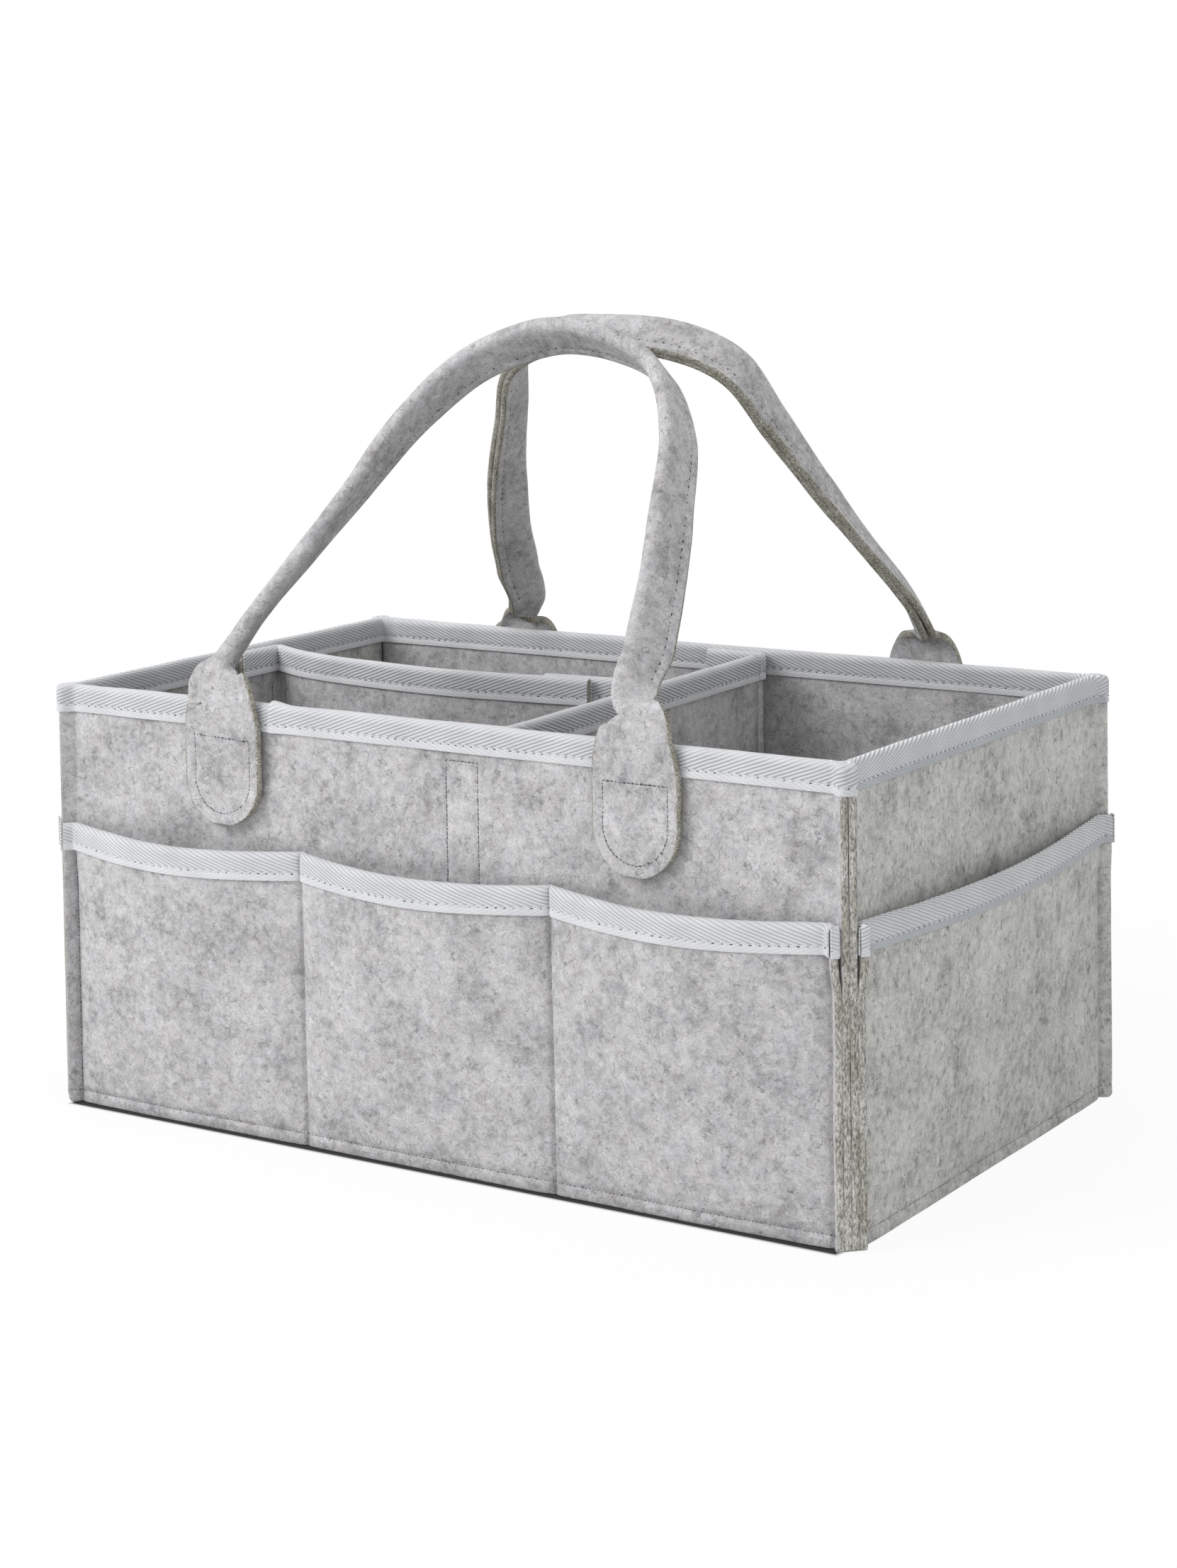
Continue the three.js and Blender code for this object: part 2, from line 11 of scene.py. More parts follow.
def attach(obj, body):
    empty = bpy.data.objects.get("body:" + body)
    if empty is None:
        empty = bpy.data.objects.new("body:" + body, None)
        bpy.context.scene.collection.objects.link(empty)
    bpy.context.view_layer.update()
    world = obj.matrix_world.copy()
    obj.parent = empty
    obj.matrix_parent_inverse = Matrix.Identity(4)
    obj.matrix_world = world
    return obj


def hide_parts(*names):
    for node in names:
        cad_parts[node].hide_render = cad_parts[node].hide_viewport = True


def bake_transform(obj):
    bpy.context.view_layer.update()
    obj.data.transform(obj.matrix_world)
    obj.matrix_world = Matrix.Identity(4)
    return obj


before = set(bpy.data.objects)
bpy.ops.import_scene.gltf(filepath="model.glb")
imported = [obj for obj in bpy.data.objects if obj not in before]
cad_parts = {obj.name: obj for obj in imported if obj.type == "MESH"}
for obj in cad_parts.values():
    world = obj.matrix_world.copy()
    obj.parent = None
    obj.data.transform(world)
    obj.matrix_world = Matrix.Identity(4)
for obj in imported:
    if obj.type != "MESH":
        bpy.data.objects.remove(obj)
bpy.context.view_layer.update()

camera = {"focal": 4357.1236, "azimuth": 0.5751, "elevation": 0.1968, "roll": -0.0147,
          "offset": (-1.4122, 132.8299, 1315.9425), "frameHeight": 2212}   # offset in mm, view axes


def makeCamera():
    a, e, r = camera["azimuth"], camera["elevation"], camera["roll"]
    back = Vector((math.sin(a) * math.cos(e), -math.cos(a) * math.cos(e), math.sin(e)))
    right = Vector((math.cos(a), math.sin(a), 0))
    up = right.cross(-back)
    rolledRight = right * math.cos(r) + up * math.sin(r)
    rolledUp = up * math.cos(r) - right * math.sin(r)
    toView = Matrix((rolledRight, -rolledUp, -back))
    data = bpy.data.cameras.new("camera")
    data.sensor_width = 36
    data.lens = 36 * camera["focal"] / camera["frameHeight"]
    made = bpy.data.objects.new("camera", data)
    bpy.context.scene.collection.objects.link(made)
    turn = Matrix((rolledRight, rolledUp, back)).transposed().to_4x4()
    place = -(toView.transposed() @ Vector(camera["offset"])) / 1000
    made.matrix_world = Matrix.Translation(place) @ turn
    bpy.context.scene.camera = made


makeCamera()

box = {
    "length": 374, "width": 224, "height": 180, "endLean": 3.5, "sideLean": 2.3,
    "felt": 3.0, "finReach": 3.5, "finGap": 0.03, "seam": 5.2, "gap": 0.3,
}
tape = {"thickness": 0.8, "reach": 11.5, "stitchUp": 2.9, "stack": 1.4,
        "step": 2.2, "trim": 0.4, "near": (0, 0.35, 0.8, 1.5), "groove": (0.3, 0.7)}
halfLength, halfWidth = box["length"] / 2, box["width"] / 2
felt, gap = box["felt"], box["gap"]


# Materials

def linear(code):
    channels = [int(code[i:i + 2], 16) / 255 for i in (1, 3, 5)]
    return [c / 12.92 if c <= 0.04045 else ((c + 0.055) / 1.055) ** 2.4 for c in channels] + [1.0]


# Adds a node, sets or links its inputs, and gives back one of its outputs.
def addNode(tree, kind, inputs=None, out=0, stops=None, **settings):
    made = tree.nodes.new("ShaderNode" + kind)
    for key, value in settings.items():
        setattr(made, key, value)
    for key, value in (inputs or {}).items():
        if isinstance(value, bpy.types.NodeSocket):
            tree.links.new(value, made.inputs[key])
        else:
            made.inputs[key].default_value = value
    if stops:
        elements = made.color_ramp.elements
        while len(elements) < len(stops):
            elements.new(0.5)
        for element, (place, value) in zip(elements, stops):
            element.position = place
            element.color = value if isinstance(value, list) else [value, value, value, 1.0]
    return made.outputs[out]


# Cloth and thread scatter light from loose fibres, so they have little gloss and a soft sheen.
fibre = {"Specular IOR Level": 0.15, "Sheen Roughness": 0.6}


# Gives back a material, its shader, and addNode for its tree.
def newMaterial(name, roughness, sheen=0.0):
    made = bpy.data.materials.new(name)
    made.use_nodes = True
    shader = made.node_tree.nodes["Principled BSDF"]
    for socket, value in {**fibre, "Roughness": roughness, "Sheen Weight": sheen}.items():
        shader.inputs[socket].default_value = value
    return made, shader, partial(addNode, made.node_tree)


# Needle-punched wool felt. To the eye it is matt, softly blotched grey with short curly dark hairs.
# Grain is the direction that the hairs were carded in, as a stretch on X, Y and Z.
def feltMaterial(name, pale, mid, dark, hair, grain, contrast, warmth):
    made, shader, add = newMaterial(name, 0.95, sheen=0.06)
    place = add("TexCoord", out="Object")
    warp = add("TexNoise", {"Vector": place, "Scale": 320.0, "Detail": 1.0}, out="Color")
    warp = add("VectorMath", {0: warp, 1: (0.5, 0.5, 0.5)}, operation="SUBTRACT")
    warp = add("VectorMath", {0: warp, "Scale": 0.0030}, operation="SCALE")
    bent = add("VectorMath", {0: place, 1: warp}, operation="ADD")

    blotch = add("TexNoise", {   # 3 to 5 mm blotches
        "Vector": bent, "Scale": 230.0, "Detail": 7.0, "Roughness": 0.74}, out="Fac")
    cloud = add("TexNoise", {"Vector": place, "Scale": 42.0, "Detail": 3.0}, out="Fac")
    tone = add("Math", {0: cloud, 1: 0.32}, operation="MULTIPLY")
    tone = add("Math", {0: blotch, 1: 0.68, 2: tone}, operation="MULTIPLY_ADD")
    base = add("ValToRGB", {"Fac": tone}, stops=[
        (0.36, linear(dark)), (0.5, linear(mid)), (0.62, linear(pale))])
    tint = add("TexNoise", {"Vector": place, "Scale": 130.0, "Detail": 2.0}, out="Fac")
    tint = add("ValToRGB", {"Fac": tint}, stops=[
        (0.38, linear("#fbfbff")), (0.5, linear("#ffffff")), (0.62, linear("#fffdfb"))])
    base = add("Mix", {0: warmth, 6: base, 7: tint}, out=2, data_type="RGBA",
               blend_type="MULTIPLY")

    # A hair is where a stretched noise field crosses its middle value, broken up by a mask.
    mask = add("TexNoise", {"Vector": place, "Scale": 170.0, "Detail": 2.0}, out="Fac")
    hairs = None
    for size, turn, low, high in ((300.0, (0.3, 0.1, 0.2), 0.50, 0.66),
                                  (380.0, (1.2, 0.7, 0.4), 0.34, 0.50)):
        turned = add("Mapping", {
            "Vector": bent, "Rotation": turn, "Scale": [size * g for g in grain]})
        field = add("TexNoise", {"Vector": turned, "Scale": 1.0, "Detail": 1.0}, out="Fac")
        away = add("Math", {0: field, 1: 0.5}, operation="SUBTRACT")
        away = add("Math", {0: away}, operation="ABSOLUTE")
        line = add("ValToRGB", {"Fac": away}, stops=[(0.008, 1.0), (0.036, 0.0)])
        stops = [(low, 0.0), (high, 1.0)] if low >= 0.5 else [(low, 1.0), (high, 0.0)]
        kept = add("ValToRGB", {"Fac": mask}, stops=stops)
        line = add("Math", {0: line, 1: kept}, operation="MULTIPLY")
        hairs = line if hairs is None else add(
            "Math", {0: hairs, 1: line}, operation="MAXIMUM")
    amount = add("Math", {0: hairs, 1: contrast}, operation="MULTIPLY")
    base = add("Mix", {0: amount, 6: base, 7: linear(hair)}, out=2, data_type="RGBA")
    grit = add("TexNoise", {   # 0.7 mm wool grain
        "Vector": bent, "Scale": 1400.0, "Detail": 2.0, "Roughness": 0.6}, out="Fac")
    speck = add("ValToRGB", {"Fac": grit}, stops=[
        (0.3, linear("#cfcecd")), (0.5, linear("#f4f4f4")), (0.7, linear("#ffffff"))])
    base = add("Mix", {0: 0.75, 6: base, 7: speck}, out=2, data_type="RGBA",
               blend_type="MULTIPLY")
    made.node_tree.links.new(base, shader.inputs["Base Color"])

    pile = add("Math", {0: grit, 1: 0.7, 2: tone}, operation="MULTIPLY_ADD")
    raised = add("Bump", {"Height": pile, "Strength": 0.35, "Distance": 0.0010})
    made.node_tree.links.new(raised, shader.inputs["Normal"])
    return made


# The same felt where a blade has cut it. To the eye it is darker and warmer, with the cut ends of
# the wool as coarse specks.
def cutFeltMaterial(name, pale, mid, dark, grain):
    made, shader, add = newMaterial(name, 1.0)
    place = add("TexCoord", out="Object")
    place = add("Mapping", {"Vector": place, "Scale": grain})
    ends = add("TexNoise", {   # 0.6 mm specks
        "Vector": place, "Scale": 1500.0, "Detail": 3.0, "Roughness": 0.75}, out="Fac")
    base = add("ValToRGB", {"Fac": ends}, stops=[
        (0.36, linear(dark)), (0.5, linear(mid)), (0.64, linear(pale))])
    patch = add("TexNoise", {"Vector": place, "Scale": 150.0, "Detail": 2.0}, out="Fac")
    patch = add("ValToRGB", {"Fac": patch}, stops=[
        (0.35, linear("#d8d6cc")), (0.65, linear("#ffffff"))])
    base = add("Mix", {0: 0.9, 6: base, 7: patch}, out=2, data_type="RGBA",
               blend_type="MULTIPLY")
    made.node_tree.links.new(base, shader.inputs["Base Color"])
    raised = add("Bump", {"Height": ends, "Strength": 0.9, "Distance": 0.0011})
    made.node_tree.links.new(raised, shader.inputs["Normal"])
    return made


# Woven cotton herringbone tape. To the eye it is pale and matt, with slanting ribs 1.3 mm apart
# that turn back on the fold and again below the stitches, where they nearly vanish. U runs along
# the tape and V across it from its fold, both in metres. Lean is the way the ribs slant, clear how
# dark the grooves between them are, crown how far they show on the fold, ticks how much painted
# highlight whitens them there, and low is painted shade on the outer face below the stitches.
herringbone = {"tilt": 20.0, "pitch": 0.0013, "yarn": 0.0006}


def tapeMaterial(name, lean, pale, groove, clear, crown=0.25, ticks=0.0, low=None):
    made, shader, add = newMaterial(name, 0.85, sheen=0.05)
    place = add("UVMap", uv_map="UVMap")
    parts = add("SeparateXYZ", {0: place}).node.outputs
    wander = add("TexNoise", {"Vector": place, "Scale": 90.0, "Detail": 1.0}, out="Fac")
    u = add("Math", {0: parts["X"], 1: lean}, operation="MULTIPLY")
    u = add("Math", {0: wander, 1: 0.0015, 2: u}, operation="MULTIPLY_ADD")
    turnBack = (tape["reach"] - tape["stitchUp"]) / 1000
    height = add("Math", {0: parts["Y"]}, operation="ABSOLUTE")
    below = add("Math", {0: height, 1: turnBack}, operation="SUBTRACT")
    below = add("Math", {0: below, 1: 0.0}, operation="MAXIMUM")
    across = add("Math", {0: below, 1: -2.0, 2: height}, operation="MULTIPLY_ADD")
    tilt, turns = math.radians(herringbone["tilt"]), math.tau / herringbone["pitch"]
    phase = add("Math", {0: u, 1: -turns * math.sin(tilt)}, operation="MULTIPLY")
    phase = add("Math", {0: across, 1: turns * math.cos(tilt), 2: phase}, operation="MULTIPLY_ADD")
    rib = add("Math", {0: phase}, operation="SINE")
    rib = add("Math", {0: rib, 1: 0.5, 2: 0.5}, operation="MULTIPLY_ADD")
    fold = add("MapRange", {
        "Value": height, "From Min": 0.0012, "From Max": 0.0042, "To Min": crown, "To Max": 1.0})
    edge = add("MapRange", {"Value": below, "From Max": 0.0005, "To Min": 1.0, "To Max": 0.25})
    fold = add("Math", {0: fold, 1: edge}, operation="MULTIPLY")
    line = add("ValToRGB", {"Fac": rib}, stops=[(0.04, 1.0), (0.6, 0.0)])
    line = add("Math", {0: line, 1: fold}, operation="MULTIPLY")

    yarn = add("Math", {0: parts["X"], 1: math.tau / herringbone["yarn"]}, operation="MULTIPLY")
    yarn = add("Math", {0: yarn}, operation="SINE")
    yarn = add("Math", {0: yarn, 1: 0.5, 2: 0.5}, operation="MULTIPLY_ADD")
    fuzz = add("TexNoise", {"Vector": place, "Scale": 1900.0, "Detail": 2.0}, out="Fac")
    shade = add("Math", {0: yarn, 1: 0.35, 2: fuzz}, operation="MULTIPLY_ADD")
    base = add("ValToRGB", {"Fac": shade}, stops=[
        (0.3, linear(pale)), (0.85, linear("#dddfe1"))])
    amount = add("Math", {0: line, 1: clear}, operation="MULTIPLY")
    base = add("Mix", {0: amount, 6: base, 7: linear(groove)}, out=2, data_type="RGBA")
    cloud = add("TexNoise", {"Vector": place, "Scale": 55.0, "Detail": 2.0}, out="Fac")
    cloud = add("ValToRGB", {"Fac": cloud}, stops=[
        (0.3, linear("#e9e9ec")), (0.7, linear("#ffffff"))])
    base = add("Mix", {0: 0.6, 6: base, 7: cloud}, out=2, data_type="RGBA", blend_type="MULTIPLY")
    # Painted shade: the outer face below the stitches is multiplied by the colour low.
    if low:
        outside = add("Math", {0: parts["Y"], 1: 0.0}, operation="GREATER_THAN")
        paintedShadeBand = add("MapRange", {"Value": below, "From Max": 0.0004, "To Max": outside})
        base = add("Mix", {0: paintedShadeBand, 6: base, 7: linear(low)}, out=2, data_type="RGBA",
                   blend_type="MULTIPLY")
    # Painted highlight: the ribs on the fold are whitened, as if lit there.
    if ticks:
        lit = add("MapRange", {"Value": height, "From Min": 0.0004, "From Max": 0.0022,
                               "To Min": ticks, "To Max": 0.0})
        tick = add("ValToRGB", {"Fac": rib}, stops=[(0.45, 0.0), (0.85, 1.0)])
        lit = add("Math", {0: lit, 1: tick}, operation="MULTIPLY")
        base = add("Mix", {0: lit, 6: base, 7: linear("#ffffff")}, out=2, data_type="RGBA")
    made.node_tree.links.new(base, shader.inputs["Base Color"])

    relief = add("Math", {0: rib, 1: fold}, operation="MULTIPLY")
    relief = add("Math", {0: yarn, 1: 0.15, 2: relief}, operation="MULTIPLY_ADD")
    raised = add("Bump", {"Height": relief, "Strength": 0.35, "Distance": 0.0003})
    made.node_tree.links.new(raised, shader.inputs["Normal"])
    return made


# Nylon hook or loop tape. To the eye it is an even, dull stubble of 1 mm tufts.
def pileMaterial(name, pale, colour):
    made, shader, add = newMaterial(name, 0.85, sheen=0.1)
    place = add("TexCoord", out="Object")
    tufts = add("TexVoronoi", {"Vector": place, "Scale": 950.0}, out="Distance")
    base = add("Mix", {0: tufts, 6: linear(pale), 7: linear(colour)}, out=2, data_type="RGBA")
    made.node_tree.links.new(base, shader.inputs["Base Color"])
    raised = add("Bump", {"Height": tufts, "Strength": 0.6, "Distance": 0.0006})
    made.node_tree.links.new(raised, shader.inputs["Normal"])
    return made


# Spun polyester thread, twisted every 0.4 mm, which gives it fine darker flecks, or the matt
# painted shadow in the hole that a needle left.
def threadMaterial(name, pale, dark, roughness):
    made, shader, add = newMaterial(name, roughness)
    place = add("TexCoord", out="Object")
    twist = add("TexNoise", {"Vector": place, "Scale": 2600.0, "Detail": 1.0}, out="Fac")
    base = add("ValToRGB", {"Fac": twist}, stops=[(0.35, linear(dark)), (0.65, linear(pale))])
    made.node_tree.links.new(base, shader.inputs["Base Color"])
    return made


evenGrain = (1.0, 0.55, 1.0)   # hairs lie any way, a little longer one way
standingGrain = (1.0, 1.0, 0.4)
materials = {
    # Even light grey with soft hairs, on the long sides, base, handles and dividers.
    "felt": feltMaterial("greyFelt", pale="#d8d7d8", mid="#c3c2c3", dark="#999899", hair="#777575",
                         grain=evenGrain, contrast=0.6, warmth=0.6),
    # Slightly yellower, with darker hairs that stand, on the two ends.
    "endFelt": feltMaterial("greyFeltUprightGrain", pale="#dcdcd9", mid="#c8c8c5", dark="#979793",
                            hair="#6c6c67", grain=standingGrain, contrast=0.65,
                            warmth=0.4),
    # Warm, dark and speckled, on the cut edges of the handles and dividers.
    "cutEdge": cutFeltMaterial("cutFelt", pale="#e6e5dc", mid="#b9b7ad", dark="#74726a",
                               grain=(1, 1, 1)),
    # Paler, with upright streaks, on the cut edges of the corner seams.
    "finEdge": cutFeltMaterial("cutSeamFelt", pale="#efeeea", mid="#c3c1bc", dark="#7d7b76",
                               grain=(1, 1, 0.35)),
    # Clear grey ribs, on the rim of the long sides.
    "rimTape": tapeMaterial("rimHerringboneTape", lean=1.0, pale="#c9cacc", groove="#828589",
                            clear=0.75),
    # A shaded copy of the rim tape, in a darker, softer grey as painted shade, with a painted
    # highlight on the ribs along the fold and painted shade on its foot, on the rim of the ends.
    "shadedEndRimTape": tapeMaterial("shadedEndRimHerringboneTape", lean=1.0, pale="#bec1c4", groove="#7d8186",
                               clear=0.5, crown=0.9, ticks=0.9, low="#dddfe2"),
    # Soft ribs that lean the other way and run over the fold, on the front and back pockets.
    "pocketTape": tapeMaterial("pocketHerringboneTape", lean=-1.0, pale="#cbccce", groove="#86898e",
                               clear=0.6, crown=0.6),
    # The same shaded copy, with the same painted highlight and painted shade as on the rim, on the
    # end pockets.
    "shadedEndPocketTape": tapeMaterial("shadedEndPocketHerringboneTape", lean=-1.0, pale="#bec1c4",
                                  groove="#7d8186", clear=0.5, crown=0.9, ticks=0.6, low="#dddfe2"),
    # The clearest ribs, on the dividers.
    "dividerTape": tapeMaterial("dividerHerringboneTape", lean=-1.0, pale="#cccdcf",
                                groove="#7d8085", clear=0.85),
    # Pale grey stubble, mostly hidden inside.
    "hook": pileMaterial("hookAndLoopTape", pale="#dfe0e1", colour="#a9adb0"),
    # Dark grey flecked dashes on the felt's seams.
    "greyThread": threadMaterial("greyThread", pale="#84848c", dark="#5e5e67", roughness=0.7),
    # Nearly white dashes on the tapes.
    "paleThread": threadMaterial("paleThread", pale="#e2e4e6", dark="#c3c6ca", roughness=0.7),
    # Small soft dark dots between the stitches: painted shadow in the needle holes.
    "hole": threadMaterial("needleHoleShadow", pale="#6a6a6e", dark="#3c3c40", roughness=1.0),
}
print("stage: materials")


# Cloth making. Waves are given as height, size and seed, and grooves as depth and width.

def leanIn(points):
    p = np.array(points, float)
    rise = p[..., 2] / box["height"]
    p[..., 0] *= 1 - box["endLean"] / halfLength * rise
    p[..., 1] *= 1 - box["sideLean"] / halfWidth * rise
    return p


# Places along a length: close together at cut edges and at marks, and no more than a step apart.
def spread(total, step, trim=1.5, marks=(), near=(0, 0.5, 1.1, 2.0, 3.4)):
    spots = [0.0, total]
    if trim:
        cut = [share * trim for share in (0.06, 0.28, 0.62, 1.0, 1.8)]
        spots += cut + [total - s for s in cut]
    for mark in marks:
        spots += [mark + side * s for s in near for side in (-1, 1)]
    spots = sorted(s for s in spots if 0 <= s <= total)
    kept = [spots[0]]
    for spot in spots[1:]:
        if spot - kept[-1] > 0.05:
            kept.append(spot)
    kept[-1] = total
    out = []
    for a, b in zip(kept, kept[1:]):
        count = max(1, math.ceil((b - a) / step))
        out += [a + (b - a) * i / count for i in range(count)]
    return np.array(out + [total])


def gridNormals(grid, along, across, closed):
    if closed:
        ring = grid[:-1]
        ahead = np.roll(ring, -1, 0) - np.roll(ring, 1, 0)
        ahead = np.concatenate([ahead, ahead[:1]])
    else:
        ahead = np.gradient(grid, along, axis=0)
    normal = np.cross(ahead, np.gradient(grid, across, axis=1))
    return normal / np.maximum(np.linalg.norm(normal, axis=2, keepdims=True), 1e-9)


def waviness(grid, amount, size, seed):
    shift = Vector((seed * 7.3, seed * 3.1, 0))
    flat = [noise.noise(Vector(p) / size + shift) for p in grid.reshape(-1, 3)]
    return np.array(flat).reshape(grid.shape[:2]) * amount


# Gives a sheet of points its thickness and rounds its cut edges. The points may form a closed loop.
def makeCloth(name, grid, along, across, thickness, trims=(True, True), closed=False, side=1,
              dent=None, waves=(), faces=("felt", "cutEdge"), square=3.0):
    grid = np.array(grid, float)
    normals = gridNormals(grid, along, across, closed) * side
    for amount, size, seed in waves:
        grid = grid + normals * waviness(grid, amount, size, seed)[..., None]
    normals = gridNormals(grid, along, across, closed) * side
    reach = thickness / 2

    def rounding(places, trimmed):
        if not trimmed:
            return np.ones(len(places))
        far = np.minimum(places - places[0], places[-1] - places) / reach
        return (1 - (1 - np.clip(far, 0, 1)) ** square) ** (1 / square)

    full = np.outer(rounding(along, trims[0]), rounding(across, trims[1])) * reach
    outer = grid + normals * (full * (1 - (0 if dent is None else dent) / reach))[..., None]
    inner = grid - normals * full[..., None]
    rows, columns = grid.shape[:2]

    work = bmesh.new()
    uvLayer = work.loops.layers.uv.new("UVMap")
    for surface in (outer, inner):
        made = bmesh.ops.create_grid(work, x_segments=rows - 1, y_segments=columns - 1, size=1)
        work.verts.index_update()
        first = made["verts"][0].index
        for vertex in made["verts"]:
            j, i = divmod(vertex.index - first, rows)
            vertex.co = surface[i, j] / 1000
        for face in {f for vertex in made["verts"] for f in vertex.link_faces}:
            cells = [divmod(loop.vert.index - first, rows) for loop in face.loops]
            for loop, (j, i) in zip(face.loops, cells):
                loop[uvLayer].uv = (along[i] / 1000, across[j] / 1000)
            worn = sum(full[i, j] < reach * 0.995 for j, i in cells)
            face.material_index = 1 if worn >= 3 else 0
    rim = [v for v in work.verts if v.is_boundary]
    bmesh.ops.remove_doubles(work, verts=rim, dist=1e-6)
    openEnds = [e for e in work.edges if e.is_boundary]
    if openEnds:
        filled = bmesh.ops.holes_fill(work, edges=openEnds, sides=0)["faces"]
        for face in filled:
            face.material_index = 1
    made = finishPiece(name, work, faces)
    return {"object": made, "outer": outer, "inner": inner, "normals": normals,
            "along": np.array(along), "across": np.array(across)}


def finishPiece(name, work, faces):
    bmesh.ops.recalc_face_normals(work, faces=work.faces)
    for face in work.faces:
        face.smooth = True
    mesh = bpy.data.meshes.new(name)
    work.to_mesh(mesh)
    work.free()
    for key in faces:
        mesh.materials.append(materials[key])
    made = bpy.data.objects.new(name, mesh)
    bpy.context.scene.collection.objects.link(made)
    return made


def settle(piece, body, slot, *nodes):
    made = piece["object"] if isinstance(piece, dict) else piece
    if nodes:
        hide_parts(*nodes)
    if isinstance(body, dict):
        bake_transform(made)
    else:
        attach(made, body)
    return made


# The point on a made surface, and its normal, at a place along and across it.
def onSurface(surface, u, v, side=1):
    along, across = surface["along"], surface["across"]
    i = int(np.clip(np.searchsorted(along, u) - 1, 0, len(along) - 2))
    j = int(np.clip(np.searchsorted(across, v) - 1, 0, len(across) - 2))
    a = np.clip((u - along[i]) / (along[i + 1] - along[i]), 0, 1)
    b = np.clip((v - across[j]) / (across[j + 1] - across[j]), 0, 1)

    def mixed(values):
        low = values[i, j] * (1 - b) + values[i, j + 1] * b
        high = values[i + 1, j] * (1 - b) + values[i + 1, j + 1] * b
        return low * (1 - a) + high * a

    normal = mixed(surface["normals"]) * side
    return mixed(surface["outer" if side > 0 else "inner"]), normal / np.linalg.norm(normal)


# Grooves that sewing presses into a surface, along paths given as places along and across it.
def sewnGroove(along, across, paths, depth, width):
    u, v = np.meshgrid(along, across, indexing="ij")
    best = np.full(u.shape, 1e9)
    for path in paths:
        for (x0, y0), (x1, y1) in zip(path, path[1:]):
            dx, dy = x1 - x0, y1 - y0
            share = np.clip(((u - x0) * dx + (v - y0) * dy) / max(dx * dx + dy * dy, 1e-9), 0, 1)
            best = np.minimum(best, np.hypot(u - x0 - share * dx, v - y0 - share * dy))
    return depth * np.exp(-(best / width) ** 2)


# Share is the thread's part of a pitch, trace how often the cloth's surface is read along a seam,
# and vary how the size of the needle holes differs.
stitch = {
    "pitch": 3.6, "share": 0.7, "radius": 0.4, "sunk": 0.12, "trace": 0.6, "strayUp": 0.03,
    "straySide": 0.06, "hole": 0.65, "holeWide": 0.62, "holeDeep": 0.09,
    "vary": {"greyThread": (0.55, 1.25), "paleThread": (0.2, 1.05)},
}


# Adds a ball, stretched along a stitch, to a mesh. It is made in a small mesh first, for speed.
def addBall(work, shared, centre, forward, sideways, lift, size, slot):
    place = Matrix((sideways * size[1], lift * size[2], forward * size[0])).transposed().to_4x4()
    place.translation = centre
    ball = bmesh.new()
    bmesh.ops.create_uvsphere(ball, u_segments=6, v_segments=4, radius=1,
                              matrix=Matrix.Scale(0.001, 4) @ place)
    for face in ball.faces:
        face.material_index = slot
    ball.to_mesh(shared)
    ball.free()
    work.from_mesh(shared)


# Stitches along paths on surfaces: a half-sunk thread between needle holes.
def makeStitches(name, runs, thread="greyThread", sunk=stitch["sunk"]):
    rng = np.random.default_rng(len(name) * 31 + len(runs))
    work, shared = bmesh.new(), bpy.data.meshes.new("ball")
    for surface, path, side in runs:
        dense = []
        for (u0, v0), (u1, v1) in zip(path, path[1:]):
            count = max(2, int(math.hypot(u1 - u0, v1 - v0) / stitch["trace"]))
            dense += [(u0 + (u1 - u0) * i / count, v0 + (v1 - v0) * i / count)
                      for i in range(count)]
        placed = [onSurface(surface, u, v, side) for u, v in dense + [path[-1]]]
        line, ups = np.array([p for p, _ in placed]), np.array([q for _, q in placed])
        walked = walkedLength(line)
        count = max(1, round(walked[-1] / stitch["pitch"]))
        step = walked[-1] / count
        spots = (np.arange(2 * count + 1) / 2) * step
        at = np.stack([np.interp(spots, walked, line[:, k]) for k in range(3)], -1)
        up = np.stack([np.interp(spots, walked, ups[:, k]) for k in range(3)], -1)
        for i in range(count):
            a, centre, b = at[2 * i:2 * i + 3]
            forward = (b - a) / max(np.linalg.norm(b - a), 1e-9)
            lift = up[2 * i + 1] - forward * np.dot(up[2 * i + 1], forward)
            lift /= np.linalg.norm(lift)
            sideways = np.cross(forward, lift)
            centre = centre + lift * (rng.normal(0, stitch["strayUp"]) - sunk) \
                + sideways * rng.normal(0, stitch["straySide"])
            axes = (forward, sideways, lift)
            size = (step * stitch["share"] / 2, stitch["radius"], stitch["radius"])
            addBall(work, shared, centre, *axes, size, 0)
            hole = stitch["hole"] * rng.uniform(*stitch["vary"][thread])
            size = (hole, hole * stitch["holeWide"], stitch["holeDeep"])
            addBall(work, shared, a, *axes, size, 1)
    bpy.data.meshes.remove(shared)
    return finishPiece(name, work, (thread, "hole"))


# Plan of the sewn box

def turned(angle, x, y):
    return np.stack([x * math.cos(angle) - y * math.sin(angle),
                     x * math.sin(angle) + y * math.cos(angle)], -1)


longSide = {"span": halfLength, "out": halfWidth, "bays": 3, "bow": 10.0, "felt": "felt",
            "tape": "pocketTape"}
endSide = {"span": halfWidth, "out": halfLength, "bays": 1, "bow": 6.5, "felt": "endFelt",
           "tape": "shadedEndPocketTape"}
sides = {
    "back": {**longSide, "turn": 0.0}, "right": {**endSide, "turn": -math.pi / 2},
    "front": {**longSide, "turn": math.pi}, "left": {**endSide, "turn": math.pi / 2},
}
bendEnd = 11.0   # a side is straight up to this far before its corner
fin = {"rootRadius": 2.0, "steps": 14, "plainTo": 1.8, "tipShares": (1.0, 0.62, 0.28, 0.06, 0.0)}


